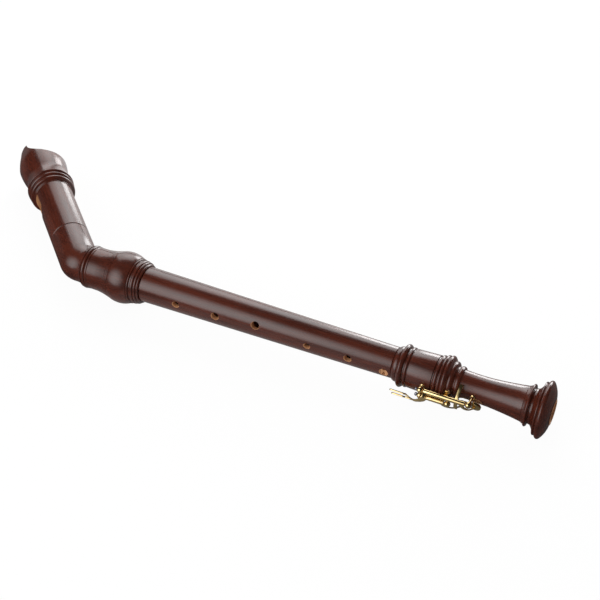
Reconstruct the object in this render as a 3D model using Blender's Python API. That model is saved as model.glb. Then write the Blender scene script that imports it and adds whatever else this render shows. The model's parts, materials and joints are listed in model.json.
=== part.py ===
"""Tenor recorder with a bent neck and a double key for the two lowest notes.

Five turned wooden joints fit together on corked tenons: head, neck, barrel, middle and foot.
Sizes are in millimetres and degrees. The bore runs along +X towards the bell, with X = 0 at
the barrel's lower lip. The finger holes face -Y, and the head bends back towards +Y.
Angles round the bore start at the finger side and grow upwards.
"""
import math

import bmesh
import bpy
from mathutils import Matrix, Vector

MM = 0.001

# General values
GAP = 0.3
SIDES = 32
FINE_SIDES = 16
OVERSHOOT = 12.0

# Neck, bent at a mitre
BEND = 43.7
NECK_BORE = 12.0
UPPER_LEG_R = 18.3
LOWER_LEG_R = 17.3
UPPER_STRAIGHT = 31.8
LOWER_STRAIGHT = 0.8
INNER_CORNER = 0.5
OUTER_CORNER = 10.0
FLARE_LENGTH = 7.6
FLARE_RISE = 3.3
FLARE_ROOT = 0.4
FLARE_RIM = 2.5
LIP_CHAMFER = 0.5

# Large tenons, which are alike at the head and at the middle joint
TENON_R = 14.6
TENON_LENGTH = 28.4
CORK_INSET = 4.7
CORK_SEAT = 1.0
CORK_PROUD = 0.6
GLUED_TENON_LENGTH = 20.7

# Head
HEAD_LENGTH = 155.7
HEAD_BORE = 12.8
BLOCK_LENGTH = 83.6
WINDOW_LENGTH = 6.5
WINDOW_HALF_WIDTH = 8.3
LABIUM_THICKNESS = 0.8
RAMP_LENGTH = 23.5
RAMP_RISE = 5.0
WINDWAY_HEIGHT = 1.5
WINDWAY_HALF_ANGLE = 40.0
TIP_SLICE = 10.0
TIP_LENGTH = 7.0
BEAK_LENGTH = 34.0
BEAK_FLOOR = 26.0

# Barrel
BARREL_LENGTH = 56.7
BARREL_R = 19.3

# Middle joint, which holds six finger holes and the thumb hole
MIDDLE_LENGTH = 244.9
MIDDLE_TOP_R = 16.5
MIDDLE_END_R = 13.8
MIDDLE_BORE_TOP = 12.0
MIDDLE_BORE_END = 8.9
END_TENON_R = 11.6
END_TENON_LENGTH = 29.3
END_CORK_SEAT = 0.7
END_CORK_PROUD = 0.5
FINGER_HOLES = (
    (38.8, 6.0, 3.0),
    (78.5, 8.2, 3.5),
    (117.9, 20.6, 3.7),
    (167.8, 3.4, 2.8),
    (206.0, 4.4, 3.2),
)
HOLE_BEVEL = 0.7
THUMB_HOLE_X = 28.7
THUMB_HOLE_ANGLE = 184.0
THUMB_HOLE_R = 3.3
DOUBLE_HOLE_X = 239.0
DOUBLE_HOLE_ANGLE = -9.0
DOUBLE_HOLE_SPREAD = 12.5
DOUBLE_HOLE_R = 1.5
RECESS_HALF_LENGTH = 4.2
RECESS_HALF_WIDTH = 5.2
RECESS_DEPTH = 1.6

# Foot
FOOT_LENGTH = 137.0
FOOT_BORE = 8.9
FOOT_LIP_R = 13.9
BELL_R = 23.4

# Key work, placed from the foot's upper end
HINGE_HEIGHT = 23.0
FRONT_POST_X = 30.0
TUBE_R = 2.2
PIVOT_R = 0.8
ROD_HEAD_R = 1.6
ROD_HEAD = 0.8
BALL_R = 2.8
POST_STEM_R = 1.2
POST_BASE_R = 2.2
POST_BASE_HEIGHT = 0.8
SHANK_R = 1.0
SHANK_DEPTH = 1.8
KEY_OPEN = 10.0
PAD_R = 4.0
PAD_THICKNESS = 2.2
PAD_REACH = 0.9
PAD_REST = 0.15
CUP_WALL = 0.5
CUP_BACK = 0.8
SEAT_HEIGHT = 10.9
SEAT_MARGIN = 0.6
TONE_HOLE_R = 3.2
ARM_WIDTH = 3.0
ARM_THICKNESS = 1.2
TOUCH_WIDTH = 6.4
TOUCH_THICKNESS = 1.2
TOUCH_TILT = -46.6
TOUCH_CORNER = 2.2
SPRING_R = 0.25
SPRING_LENGTH = 10.5
SPRING_HEIGHT = 20.2
SPRING_TIP = 3.0
LUG_SIZE = 0.8
LUG_CLEARANCE = 0.8
BUMPER_HALF = 1.8
FIRST_CUP_X = 65.3
CUP_MARGIN = 0.6

# Each key: the angles of its hinge and cup, how far its rear post stands before the cup, and
# its touch (place before the front post, angle, height, length). The points of the arms and
# the heel are lengths, angles and heights. Lengths along the cup's arm are counted from the
# cup, and those of the touch's arm and the heel from the tube's front and rear end.
KEYS = {
    "low_csharp": {
        "angle": -14.0,
        "cup_angle": -50.0,
        "post_before_cup": 11.3,
        "cup_arm": ((-17.8, -14.0, 23.0), (-13.8, -27.0, 22.4), (-7.8, -38.0, 20.2),
                    (-2.8, -47.0, 16.6)),
        "touch": (20.0, -43.5, 25.3, 12.6),
        "touch_arm": ((2.0, -14.0, 23.6), (0.8, -19.0, 25.0), (-2.9, -26.0, 25.7),
                      (-9.1, -38.0, 25.6), (-17.1, -43.5, 25.3)),
        "heel": ((-2.4, -14.0, 22.4), (-1.4, -5.0, 19.7), (-0.1, 3.0, 18.9),
                 (1.1, 15.5, 18.9)),
        "heel_width": 3.6,
    },
    "low_c": {
        "angle": 3.0,
        "cup_angle": -28.0,
        "post_before_cup": 3.5,
        "cup_arm": ((-12.0, 3.0, 23.0), (-8.0, -8.0, 22.4), (-4.0, -20.0, 19.5),
                    (-1.5, -25.5, 16.4)),
        "touch": (19.6, -26.0, 24.0, 14.8),
        "touch_arm": ((1.9, 3.0, 23.6), (1.1, -2.0, 27.0), (-1.1, -9.0, 28.3),
                      (-5.1, -17.0, 28.3), (-10.1, -23.5, 26.6), (-16.1, -26.0, 24.0)),
        "heel": ((-7.4, -17.5, 23.8), (-7.4, -8.0, 24.2), (-7.4, 3.0, 23.2),
                 (-7.4, 20.0, 18.6), (-7.4, 41.0, 15.2)),
        "heel_width": 3.2,
    },
}

# Places that follow from the values above
bend_half = math.tan(math.radians(BEND / 2))
shoulder_x = -BARREL_LENGTH - GAP
bend_x = shoulder_x - FLARE_LENGTH - LOWER_STRAIGHT - LOWER_LEG_R * bend_half - INNER_CORNER
upper_leg = UPPER_STRAIGHT + UPPER_LEG_R * bend_half + INNER_CORNER
head_start = upper_leg + GAP
head_end = head_start + HEAD_LENGTH
block_start = head_end - BLOCK_LENGTH
cork_outer = TENON_R + CORK_PROUD
socket_r = cork_outer + GAP
socket_depth = TENON_LENGTH + GAP
end_cork_outer = END_TENON_R + END_CORK_PROUD
end_socket_r = end_cork_outer + GAP
middle_end = GAP + MIDDLE_LENGTH
foot_start = middle_end + GAP
tube_bore = PIVOT_R + GAP
cup_inner = PAD_R + GAP
cup_outer = cup_inner + CUP_WALL
cup_places = {"low_csharp": FIRST_CUP_X, "low_c": FIRST_CUP_X + 2 * cup_outer + CUP_MARGIN}

HEAD_STROKES = (
    (LIP_CHAMFER, UPPER_LEG_R, 0.0), (72.9, 18.4, 0.0), (75.7, 19.2, 0.0), (76.1, 21.4, 0.0),
    (79.4, 21.7, 0.75), (79.8, 20.8, 0.0), (81.4, 21.0, 0.0), (81.8, 22.0, 0.0),
    (84.6, 22.4, 0.7), (85.0, 21.5, 0.0), (87.0, 21.9, 0.0), (88.3, 23.4, 0.0),
    (102.8, 20.8, -0.3), (127.1, 23.8, 0.7), (147.3, 18.8, 0.4), (HEAD_LENGTH, 16.3, 0.3),
)
BARREL_STROKES = (
    (LIP_CHAMFER, 19.6, 0.0), (10.7, 19.8, 0.0), (19.7, 21.2, -0.1), (26.2, 22.9, 0.0),
    (45.4, 21.5, 2.0), (45.8, 20.9, 0.0), (47.4, 21.0, 0.3), (47.8, 19.9, 0.0),
    (48.9, 19.9, 0.0), (49.2, 20.2, 0.0), (51.8, 20.1, 0.4), (52.1, 19.6, 0.0),
    (54.4, 19.4, 0.4), (54.8, 18.6, 0.0), (BARREL_LENGTH, 17.8, 0.2),
)
FOOT_STROKES = (
    (3.0, 15.1, 0.1), (4.2, 17.3, 0.0), (11.4, 17.3, 1.7), (15.2, 16.8, 0.8),
    (33.5, 17.9, 0.0), (38.0, 17.9, 0.8), (47.6, 18.7, 2.1), (54.3, 14.1, -0.2),
    (57.8, 14.1, 0.6), (61.5, 12.2, -0.2), (84.5, 12.1, -0.35), (111.9, 15.1, -0.3),
    (116.4, 17.2, -0.2), (120.5, 16.0, 1.6), (126.2, BELL_R, -0.2), (132.1, BELL_R, 1.6),
    (136.3, 11.8, 0.85), (FOOT_LENGTH, 11.0, 0.0),
)


def outline_points(start, strokes):
    """Points of a turned outline, each stroke an arc that swells outwards by its third value."""
    points = [start]
    for x_end, r_end, swell in strokes:
        x_start, r_start = points[-1]
        run, rise = x_end - x_start, r_end - r_start
        length = math.hypot(run, rise)
        steps = 1 + round(3 * math.sqrt(abs(swell)))
        for step in range(1, steps + 1):
            u = step / steps
            push = swell * 4 * u * (1 - u) / length
            points.append((x_start + run * u - rise * push, r_start + rise * u + run * push))
    return points


def shifted(points, distance):
    """The same outline, moved along its axis."""
    return [(x + distance, r) for x, r in points]


def widest(points, low, high):
    """The largest radius of an outline between two places along its axis."""
    found = [r for x, r in points if low <= x <= high]
    for (x0, r0), (x1, r1) in zip(points, points[1:]):
        for x in (low, high):
            if x0 <= x <= x1 and x1 > x0:
                found.append(r0 + (r1 - r0) * (x - x0) / (x1 - x0))
    return max(found)


def finish_mesh(name, bm, place=None):
    """Close the seams, point the faces outwards and hand over a mesh in metres."""
    bmesh.ops.remove_doubles(bm, verts=bm.verts, dist=0.001)
    bmesh.ops.recalc_face_normals(bm, faces=bm.faces)
    if place is not None:
        bm.transform(place)
    bm.transform(Matrix.Scale(MM, 4))
    mesh = bpy.data.meshes.new(name)
    bm.to_mesh(mesh)
    bm.free()
    mesh.shade_smooth()
    mesh.set_sharp_from_angle(angle=math.radians(30))
    return mesh


def turned(outline, closed, sides=SIDES):
    """A solid of revolution round the X axis, from (x, radius) points."""
    bm = bmesh.new()
    verts = [bm.verts.new((x, 0, r)) for x, r in outline]
    edges = [bm.edges.new(pair) for pair in zip(verts, verts[1:])]
    if closed:
        edges.append(bm.edges.new((verts[-1], verts[0])))
    bmesh.ops.spin(bm, geom=verts + edges, cent=(0, 0, 0), axis=(1, 0, 0),
                   angle=math.tau, steps=sides)
    return bm


def cylinder(radius, start, end, sides=FINE_SIDES):
    """A plain rod along the X axis."""
    return turned(((start, 0), (start, radius), (end, radius), (end, 0)), False, sides)


def prism(points, low, high):
    """A flat outline in X and Y, extruded along Z from low to high."""
    bm = bmesh.new()
    face = bm.faces.new([bm.verts.new((x, y, low)) for x, y in points])
    top = bmesh.ops.extrude_face_region(bm, geom=[face])["geom"]
    moved = [item for item in top if isinstance(item, bmesh.types.BMVert)]
    bmesh.ops.translate(bm, verts=moved, vec=(0, 0, high - low))
    return bm


def lofted(rings, closed):
    """A skin through rings of points, closed on itself or capped at both ends."""
    bm = bmesh.new()
    rows = [[bm.verts.new(point) for point in ring] for ring in rings]
    pairs = list(zip(rows, rows[1:]))
    if closed:
        pairs.append((rows[-1], rows[0]))
    else:
        bm.faces.new(rows[0])
        bm.faces.new(list(reversed(rows[-1])))
    count = len(rows[0])
    for row, following in pairs:
        for i in range(count):
            j = (i + 1) % count
            bm.faces.new((row[i], following[i], following[j], row[j]))
    return bm


def joined(shapes):
    """Several shapes that lie apart, as one mesh."""
    whole = bmesh.new()
    for shape in shapes:
        scratch = bpy.data.meshes.new("scratch")
        shape.to_mesh(scratch)
        shape.free()
        whole.from_mesh(scratch)
        bpy.data.meshes.remove(scratch)
    return whole


def placed(bm, place):
    """The shape itself, moved by a matrix."""
    bm.transform(place)
    return bm


def radial_place(x, angle):
    """A frame at x on the bore's axis whose Z points outwards at the angle."""
    turn = Matrix.Rotation(math.radians(90 - angle), 4, "X")
    return Matrix.Translation((x, 0, 0)) @ turn


def upright():
    """Turns a shape made along X so that it stands along Z."""
    return Matrix.Rotation(math.radians(-90), 4, "Y")


def polar(x, angle, height):
    """The point at a height from the bore's axis, in the instrument's own frame."""
    turn = math.radians(angle)
    return Vector((x, -height * math.cos(turn), height * math.sin(turn)))


def make_material(name, colour, roughness, metallic=0.0):
    """A plain finish for one kind of piece."""
    material = bpy.data.materials.new(name)
    material.use_nodes = True
    shader = material.node_tree.nodes["Principled BSDF"]
    shader.inputs["Base Color"].default_value = (*colour, 1.0)
    shader.inputs["Roughness"].default_value = roughness
    shader.inputs["Metallic"].default_value = metallic
    return material


def make_object(name, mesh, parent, material=None, location=(0, 0, 0)):
    """A scene object under its parent, set at a place in millimetres."""
    item = bpy.data.objects.new(name, mesh)
    bpy.context.collection.objects.link(item)
    item.parent = parent
    item.location = Vector(location) * MM
    if material is not None:
        mesh.materials.append(material)
    return item


def make_empty(name, parent, location, turn=0.0):
    """An empty that carries the pieces of one frame or one joint."""
    item = make_object(name, None, parent, None, location)
    item.rotation_euler.z = math.radians(turn)
    return item


def make_tool(name, bm, parent, place=None):
    """A shape that only cuts or joins, hidden from the finished model."""
    tool = make_object(name, finish_mesh(name, bm, place), parent)
    tool.hide_render = True
    tool.display_type = "WIRE"
    return tool


def combine(item, tool, operation):
    """Cut the tool out of the piece, or weld it on."""
    step = item.modifiers.new(tool.name, "BOOLEAN")
    step.operation = operation
    step.solver = "EXACT"
    step.object = tool


def corked_tenon(base, direction, length, radius, seat, inset):
    """Outline of a tenon from its shoulder to its free end, with a seat for the cork."""
    return [(base + direction * x, r) for x, r in (
        (0, radius), (inset, radius), (inset, radius - seat),
        (length - inset, radius - seat), (length - inset, radius), (length, radius))]


def cork_ring(base, direction, length, radius, seat, proud, inset):
    """A sleeve of cork that fills the seat and stands a little proud of the tenon."""
    low = base + direction * (inset + GAP)
    high = base + direction * (length - inset - GAP)
    inner, outer = radius - seat + GAP, radius + proud
    return turned(((low, outer), (high, outer), (high, inner), (low, inner)), True)


def head_profile():
    """The head's outside, in its own length from the joint to the tip."""
    return outline_points((0, UPPER_LEG_R - LIP_CHAMFER), HEAD_STROKES)


def build_head(frame, wood, cedar):
    """The head with its window, windway and beak, and the block that fills it."""
    socket_end = upper_leg + socket_depth
    outline = shifted(head_profile(), head_start)
    outline += [(head_end, HEAD_BORE), (socket_end, HEAD_BORE), (socket_end, socket_r),
                (head_start, socket_r)]
    head = make_object("head_joint", finish_mesh("head_joint", turned(outline, True)),
                       frame, wood)

    lip = block_start - WINDOW_LENGTH
    edge = HEAD_BORE + LABIUM_THICKNESS
    far = lip - RAMP_LENGTH - OVERSHOOT
    slope = RAMP_RISE / RAMP_LENGTH
    window = prism(((lip, HEAD_BORE - OVERSHOOT / 3), (lip, edge),
                    (far, edge + slope * (RAMP_LENGTH + OVERSHOOT)),
                    (far, HEAD_BORE + OVERSHOOT), (block_start, HEAD_BORE + OVERSHOOT),
                    (block_start, HEAD_BORE - OVERSHOOT / 3)),
                   -WINDOW_HALF_WIDTH, WINDOW_HALF_WIDTH)
    combine(head, make_tool("window_cutter", window, frame), "DIFFERENCE")

    roof = HEAD_BORE - GAP + WINDWAY_HEIGHT
    reach = math.radians(WINDWAY_HALF_ANGLE)
    sweep = [reach * (step / 5 - 1) for step in range(11)]
    arch = [(roof * math.cos(turn), roof * math.sin(turn)) for turn in sweep]
    inner = HEAD_BORE - 2 * WINDWAY_HEIGHT
    arch += [(inner * math.cos(turn), inner * math.sin(turn)) for turn in (reach, 0, -reach)]
    along = Matrix(((0, 0, 1, 0), (1, 0, 0, 0), (0, 1, 0, 0), (0, 0, 0, 1)))
    windway = prism(arch, block_start - WINDWAY_HEIGHT, head_end + OVERSHOOT)
    combine(head, make_tool("windway_cutter", windway, frame, along), "DIFFERENCE")

    start = Vector((head_end - TIP_LENGTH, TIP_SLICE))
    pull = Vector((head_end - BEAK_LENGTH - 1, TIP_SLICE - 1))
    end = Vector((head_end - BEAK_LENGTH, -BEAK_FLOOR))
    curve = []
    for step in range(9):
        u = step / 8
        curve.append(start * (1 - u) ** 2 + pull * 2 * u * (1 - u) + end * u ** 2)
    beak = [(head_end + OVERSHOOT, TIP_SLICE)] + [tuple(point) for point in curve]
    beak += [(head_end - BEAK_LENGTH, -BEAK_FLOOR - OVERSHOOT),
             (head_end + OVERSHOOT, -BEAK_FLOOR - OVERSHOOT)]
    wide = BEAK_FLOOR + OVERSHOOT
    beak_cutter = make_tool("beak_cutter", prism(beak, -wide, wide), frame)
    combine(head, beak_cutter, "DIFFERENCE")

    plug = cylinder(HEAD_BORE - GAP, block_start, head_end, SIDES)
    block = make_object("block", finish_mesh("block", plug), frame, cedar)
    combine(block, beak_cutter, "DIFFERENCE")


def ring_points(centre, side, radius):
    """A ring of points round a centre, starting at the finger side."""
    points = []
    for step in range(SIDES):
        turn = math.tau * step / SIDES
        points.append(centre + side * radius * math.cos(turn)
                      + Vector((0, 0, 1)) * radius * math.sin(turn))
    return points


def build_neck(root, wood):
    """The bent neck: two legs that meet in a mitre, with a tenon at each end."""
    turn = math.radians(BEND)
    corner = Vector((bend_x, 0, 0))
    up_leg, up_side = Vector((-math.cos(turn), math.sin(turn), 0)), Vector(
        (-math.sin(turn), -math.cos(turn), 0))
    down_leg, down_side = Vector((1, 0, 0)), Vector((0, -1, 0))

    upper = list(reversed(corked_tenon(upper_leg, 1, TENON_LENGTH, TENON_R, CORK_SEAT,
                                       CORK_INSET)))
    upper += [(upper_leg, UPPER_LEG_R - LIP_CHAMFER), (upper_leg - LIP_CHAMFER, UPPER_LEG_R)]
    rings = [ring_points(corner + up_leg * t, up_side, r) for t, r in upper]

    bend_rings = [[] for step in range(7)]
    for place in range(SIDES):
        angle = math.tau * place / SIDES
        out, rise = math.cos(angle), Vector((0, 0, math.sin(angle)))
        near = INNER_CORNER + (OUTER_CORNER - INNER_CORNER) * (1 + out) / 2
        first_at = near - UPPER_LEG_R * out * bend_half
        last_at = near - LOWER_LEG_R * out * bend_half
        first = corner + up_leg * first_at + (up_side * out + rise) * UPPER_LEG_R
        last = corner + down_leg * last_at + (down_side * out + rise) * LOWER_LEG_R
        mean = (UPPER_LEG_R + LOWER_LEG_R) / 2
        tip = corner - down_leg * mean * out * bend_half + (down_side * out + rise) * mean
        for step, ring in enumerate(bend_rings):
            u = step / (len(bend_rings) - 1)
            ring.append(first * (1 - u) ** 2 + tip * 2 * u * (1 - u) + last * u ** 2)
    rings += bend_rings

    flare_x = shoulder_x - FLARE_LENGTH
    rim = LOWER_LEG_R + FLARE_RISE
    lower = outline_points((flare_x, LOWER_LEG_R + FLARE_ROOT), (
        (shoulder_x - FLARE_RIM, rim, -0.3), (shoulder_x, BARREL_R, 0.3)))
    glued_end = shoulder_x + GLUED_TENON_LENGTH
    lower += [(shoulder_x, TENON_R), (glued_end, TENON_R), (glued_end, NECK_BORE)]
    rings += [ring_points(Vector((x, 0, 0)), down_side, r) for x, r in lower]

    mitre = []
    for place in range(SIDES):
        angle = math.tau * place / SIDES
        out, rise = math.cos(angle), Vector((0, 0, math.sin(angle)))
        mitre.append(corner - down_leg * NECK_BORE * out * bend_half
                     + (down_side * out + rise) * NECK_BORE)
    rings.append(mitre)
    rings.append(ring_points(corner + up_leg * (upper_leg + TENON_LENGTH), up_side, NECK_BORE))
    make_object("neck_elbow", finish_mesh("neck_elbow", lofted(rings, True)), root, wood)


def build_barrel(root, wood):
    """The barrel, glued to the neck, with the socket that takes the middle joint."""
    outline = outline_points((0, BARREL_R), BARREL_STROKES)
    outline = shifted(outline, -BARREL_LENGTH)
    web_start = shoulder_x + GLUED_TENON_LENGTH + GAP
    web_end = GAP - TENON_LENGTH - GAP - GAP
    outline += [(0, socket_r), (web_end, socket_r), (web_end, NECK_BORE),
                (web_start, NECK_BORE), (web_start, TENON_R + GAP),
                (-BARREL_LENGTH, TENON_R + GAP)]
    make_object("barrel", finish_mesh("barrel", turned(outline, True)), root, wood)


def middle_radius(x):
    """Outside radius of the middle joint's straight taper."""
    return MIDDLE_TOP_R + (MIDDLE_END_R - MIDDLE_TOP_R) * (x - GAP) / MIDDLE_LENGTH


def hole_cutter(x, angle, radius):
    """A straight hole from inside the bore out through the wall."""
    pin = placed(cylinder(radius, MIDDLE_BORE_END / 2, MIDDLE_TOP_R + OVERSHOOT), upright())
    return placed(pin, radial_place(x, angle))


def bevel_cutter(x, angle, radius):
    """A cone that eases the rim of a finger hole."""
    level = middle_radius(x)
    tip = level - HOLE_BEVEL - radius
    top = level + 2 * HOLE_BEVEL
    cone = placed(turned(((tip, 0), (top, top - tip), (top, 0)), False, FINE_SIDES), upright())
    return placed(cone, radial_place(x, angle))


def recess_cutter():
    """An oval dish, deepest in its middle, for the double hole.

    The ball's centre stands off the wood by 3/5 of its radius, where it is 4/5 as wide.
    """
    level = middle_radius(DOUBLE_HOLE_X)
    dish = bmesh.new()
    bmesh.ops.create_uvsphere(dish, u_segments=20, v_segments=12, radius=1.0)
    deep = RECESS_DEPTH * 5 / 2
    stretch = Matrix.Diagonal((RECESS_HALF_LENGTH * 5 / 4, RECESS_HALF_WIDTH * 5 / 4, deep, 1))
    lift = Matrix.Translation((0, 0, level + deep * 3 / 5))
    return placed(dish, radial_place(DOUBLE_HOLE_X, DOUBLE_HOLE_ANGLE) @ lift @ stretch)


def build_middle(root, wood):
    """The middle joint, with a corked tenon at each end."""
    outline = list(reversed(corked_tenon(GAP, -1, TENON_LENGTH, TENON_R, CORK_SEAT, CORK_INSET)))
    outline += [(GAP, MIDDLE_TOP_R - LIP_CHAMFER), (GAP + LIP_CHAMFER, MIDDLE_TOP_R),
                (middle_end - LIP_CHAMFER, MIDDLE_END_R),
                (middle_end, MIDDLE_END_R - LIP_CHAMFER)]
    outline += corked_tenon(middle_end, 1, END_TENON_LENGTH, END_TENON_R, END_CORK_SEAT,
                            CORK_INSET)
    outline += [(middle_end + END_TENON_LENGTH, MIDDLE_BORE_END),
                (GAP - TENON_LENGTH, MIDDLE_BORE_TOP)]
    middle = make_object("middle_joint", finish_mesh("middle_joint", turned(outline, True)),
                         root, wood)

    easings = [bevel_cutter(*hole) for hole in FINGER_HOLES]
    easings.append(bevel_cutter(THUMB_HOLE_X, THUMB_HOLE_ANGLE, THUMB_HOLE_R))
    easings.append(recess_cutter())
    combine(middle, make_tool("hole_rim_cutter", joined(easings), root), "DIFFERENCE")
    holes = [hole_cutter(*hole) for hole in FINGER_HOLES]
    holes.append(hole_cutter(THUMB_HOLE_X, THUMB_HOLE_ANGLE, THUMB_HOLE_R))
    for side in (-1, 1):
        holes.append(hole_cutter(DOUBLE_HOLE_X, DOUBLE_HOLE_ANGLE + side * DOUBLE_HOLE_SPREAD,
                                 DOUBLE_HOLE_R))
    combine(middle, make_tool("hole_cutter", joined(holes), root), "DIFFERENCE")


def foot_profile():
    """The foot's outside, in its own length from its lip to the bell's end."""
    return outline_points((0, FOOT_LIP_R), FOOT_STROKES)


def post_foot_level(x):
    """Height of the wood under a post's base."""
    return widest(foot_profile(), x - POST_BASE_R, x + POST_BASE_R)


def rear_post_x(name):
    """Place of a key's rear post along the foot."""
    return cup_places[name] - KEYS[name]["post_before_cup"]


def post_places():
    """Name, place along the foot and angle of the four posts."""
    places = []
    for name, key in KEYS.items():
        places.append((name + "_post_front", FRONT_POST_X, key["angle"]))
        places.append((name + "_post_rear", rear_post_x(name), key["angle"]))
    return places


def build_foot(frame, wood):
    """The foot joint with its bell, the two keyed holes and the sockets for the posts."""
    socket_end = END_TENON_LENGTH
    outline = foot_profile()
    outline += [(FOOT_LENGTH, FOOT_BORE), (socket_end, FOOT_BORE), (socket_end, end_socket_r),
                (0, end_socket_r)]
    foot = make_object("foot_joint", finish_mesh("foot_joint", turned(outline, True)),
                       frame, wood)

    for name, key in KEYS.items():
        hole = turned(((FOOT_BORE / 2, 0), (FOOT_BORE / 2, TONE_HOLE_R), (SEAT_HEIGHT, TONE_HOLE_R),
                       (SEAT_HEIGHT, cup_outer + SEAT_MARGIN),
                       (SEAT_HEIGHT + OVERSHOOT, cup_outer + SEAT_MARGIN),
                       (SEAT_HEIGHT + OVERSHOOT, 0)), False, 24)
        place = radial_place(cup_places[name], key["cup_angle"]) @ upright()
        combine(foot, make_tool(name + "_hole_cutter", hole, frame, place), "DIFFERENCE")
    sockets = []
    for name, x, angle in post_places():
        level = post_foot_level(x)
        socket = cylinder(SHANK_R + GAP, level - SHANK_DEPTH - GAP, level + OVERSHOOT, 12)
        sockets.append(placed(socket, radial_place(x, angle) @ upright()))
    combine(foot, make_tool("socket_cutter", joined(sockets), frame), "DIFFERENCE")


def build_posts(frame, gold):
    """Ball posts that screw into the foot and carry the pivot rods."""
    for name, x, angle in post_places():
        level = post_foot_level(x)
        base = level + GAP
        neck = math.asin(POST_STEM_R / BALL_R)
        outline = [(level - SHANK_DEPTH, 0), (level - SHANK_DEPTH, SHANK_R), (base, SHANK_R),
                   (base, POST_BASE_R), (base + POST_BASE_HEIGHT, POST_STEM_R)]
        for step in range(9):
            turn = neck + (math.pi - neck) * step / 8
            radius = BALL_R * math.sin(turn) if step < 8 else 0.0
            outline.append((HINGE_HEIGHT - BALL_R * math.cos(turn), radius))
        mesh = finish_mesh(name, turned(outline, False, FINE_SIDES),
                           radial_place(0, angle) @ upright())
        post = make_object(name, mesh, frame, gold, (x, 0, 0))
        pins = [placed(cylinder(tube_bore, x - OVERSHOOT, x + OVERSHOOT, 12),
                       Matrix.Translation(polar(0, angle, HINGE_HEIGHT)))]
        if name.endswith("front"):
            pins.append(placed(cylinder(SPRING_R + GAP, x - OVERSHOOT, x + OVERSHOOT, 8),
                               Matrix.Translation(polar(0, angle, SPRING_HEIGHT))))
        combine(post, make_tool(name + "_cutter", joined(pins), frame), "DIFFERENCE")


def strap(points, width, thickness):
    """A flat bar that follows points given by length, angle and height."""
    centres = [polar(*point) for point in points]
    rings = []
    for index, centre in enumerate(centres):
        before = centres[max(index - 1, 0)]
        after = centres[min(index + 1, len(centres) - 1)]
        tangent = (after - before).normalized()
        outward = Vector((0, centre.y, centre.z)).normalized()
        side = tangent.cross(outward).normalized()
        lift = side.cross(tangent).normalized()
        ring = []
        for across, high in ((-0.5, -0.2), (-0.35, -0.5), (0.35, -0.5), (0.5, -0.2),
                             (0.5, 0.2), (0.35, 0.5), (-0.35, 0.5), (-0.5, 0.2)):
            ring.append(centre + side * width * across + lift * thickness * high)
        rings.append(ring)
    return lofted(rings, False)


def along_from(points, start):
    """Points whose length is counted from a start, as lengths from the foot's upper end."""
    return [(start + x, angle, height) for x, angle, height in points]


def as_length_angle_height(point):
    """A point in the foot's own frame as a length, an angle and a height."""
    return point.x, math.degrees(math.atan2(point.z, -point.y)), math.hypot(point.y, point.z)


def touch_plate(place, length):
    """A finger plate with round corners, centred on its place."""
    half_length, half_width = length / 2 - TOUCH_CORNER, TOUCH_WIDTH / 2 - TOUCH_CORNER
    outline = []
    for quarter, (along, across) in enumerate(((1, 1), (-1, 1), (-1, -1), (1, -1))):
        for step in range(4):
            turn = math.radians(90 * quarter + 30 * step)
            outline.append((along * half_length + TOUCH_CORNER * math.cos(turn),
                            across * half_width + TOUCH_CORNER * math.sin(turn)))
    plate = prism(outline, -TOUCH_THICKNESS / 2, TOUCH_THICKNESS / 2)
    level = Matrix.Rotation(math.radians(90 - TOUCH_TILT), 4, "X")
    return placed(plate, Matrix.Translation(place) @ level)


def opened(hinge):
    """The turn that lifts a key from its closed place to where its spring holds it."""
    swing = Matrix.Rotation(math.radians(-KEY_OPEN), 4, "X")
    return Matrix.Translation(hinge) @ swing @ Matrix.Translation(-hinge)


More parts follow.
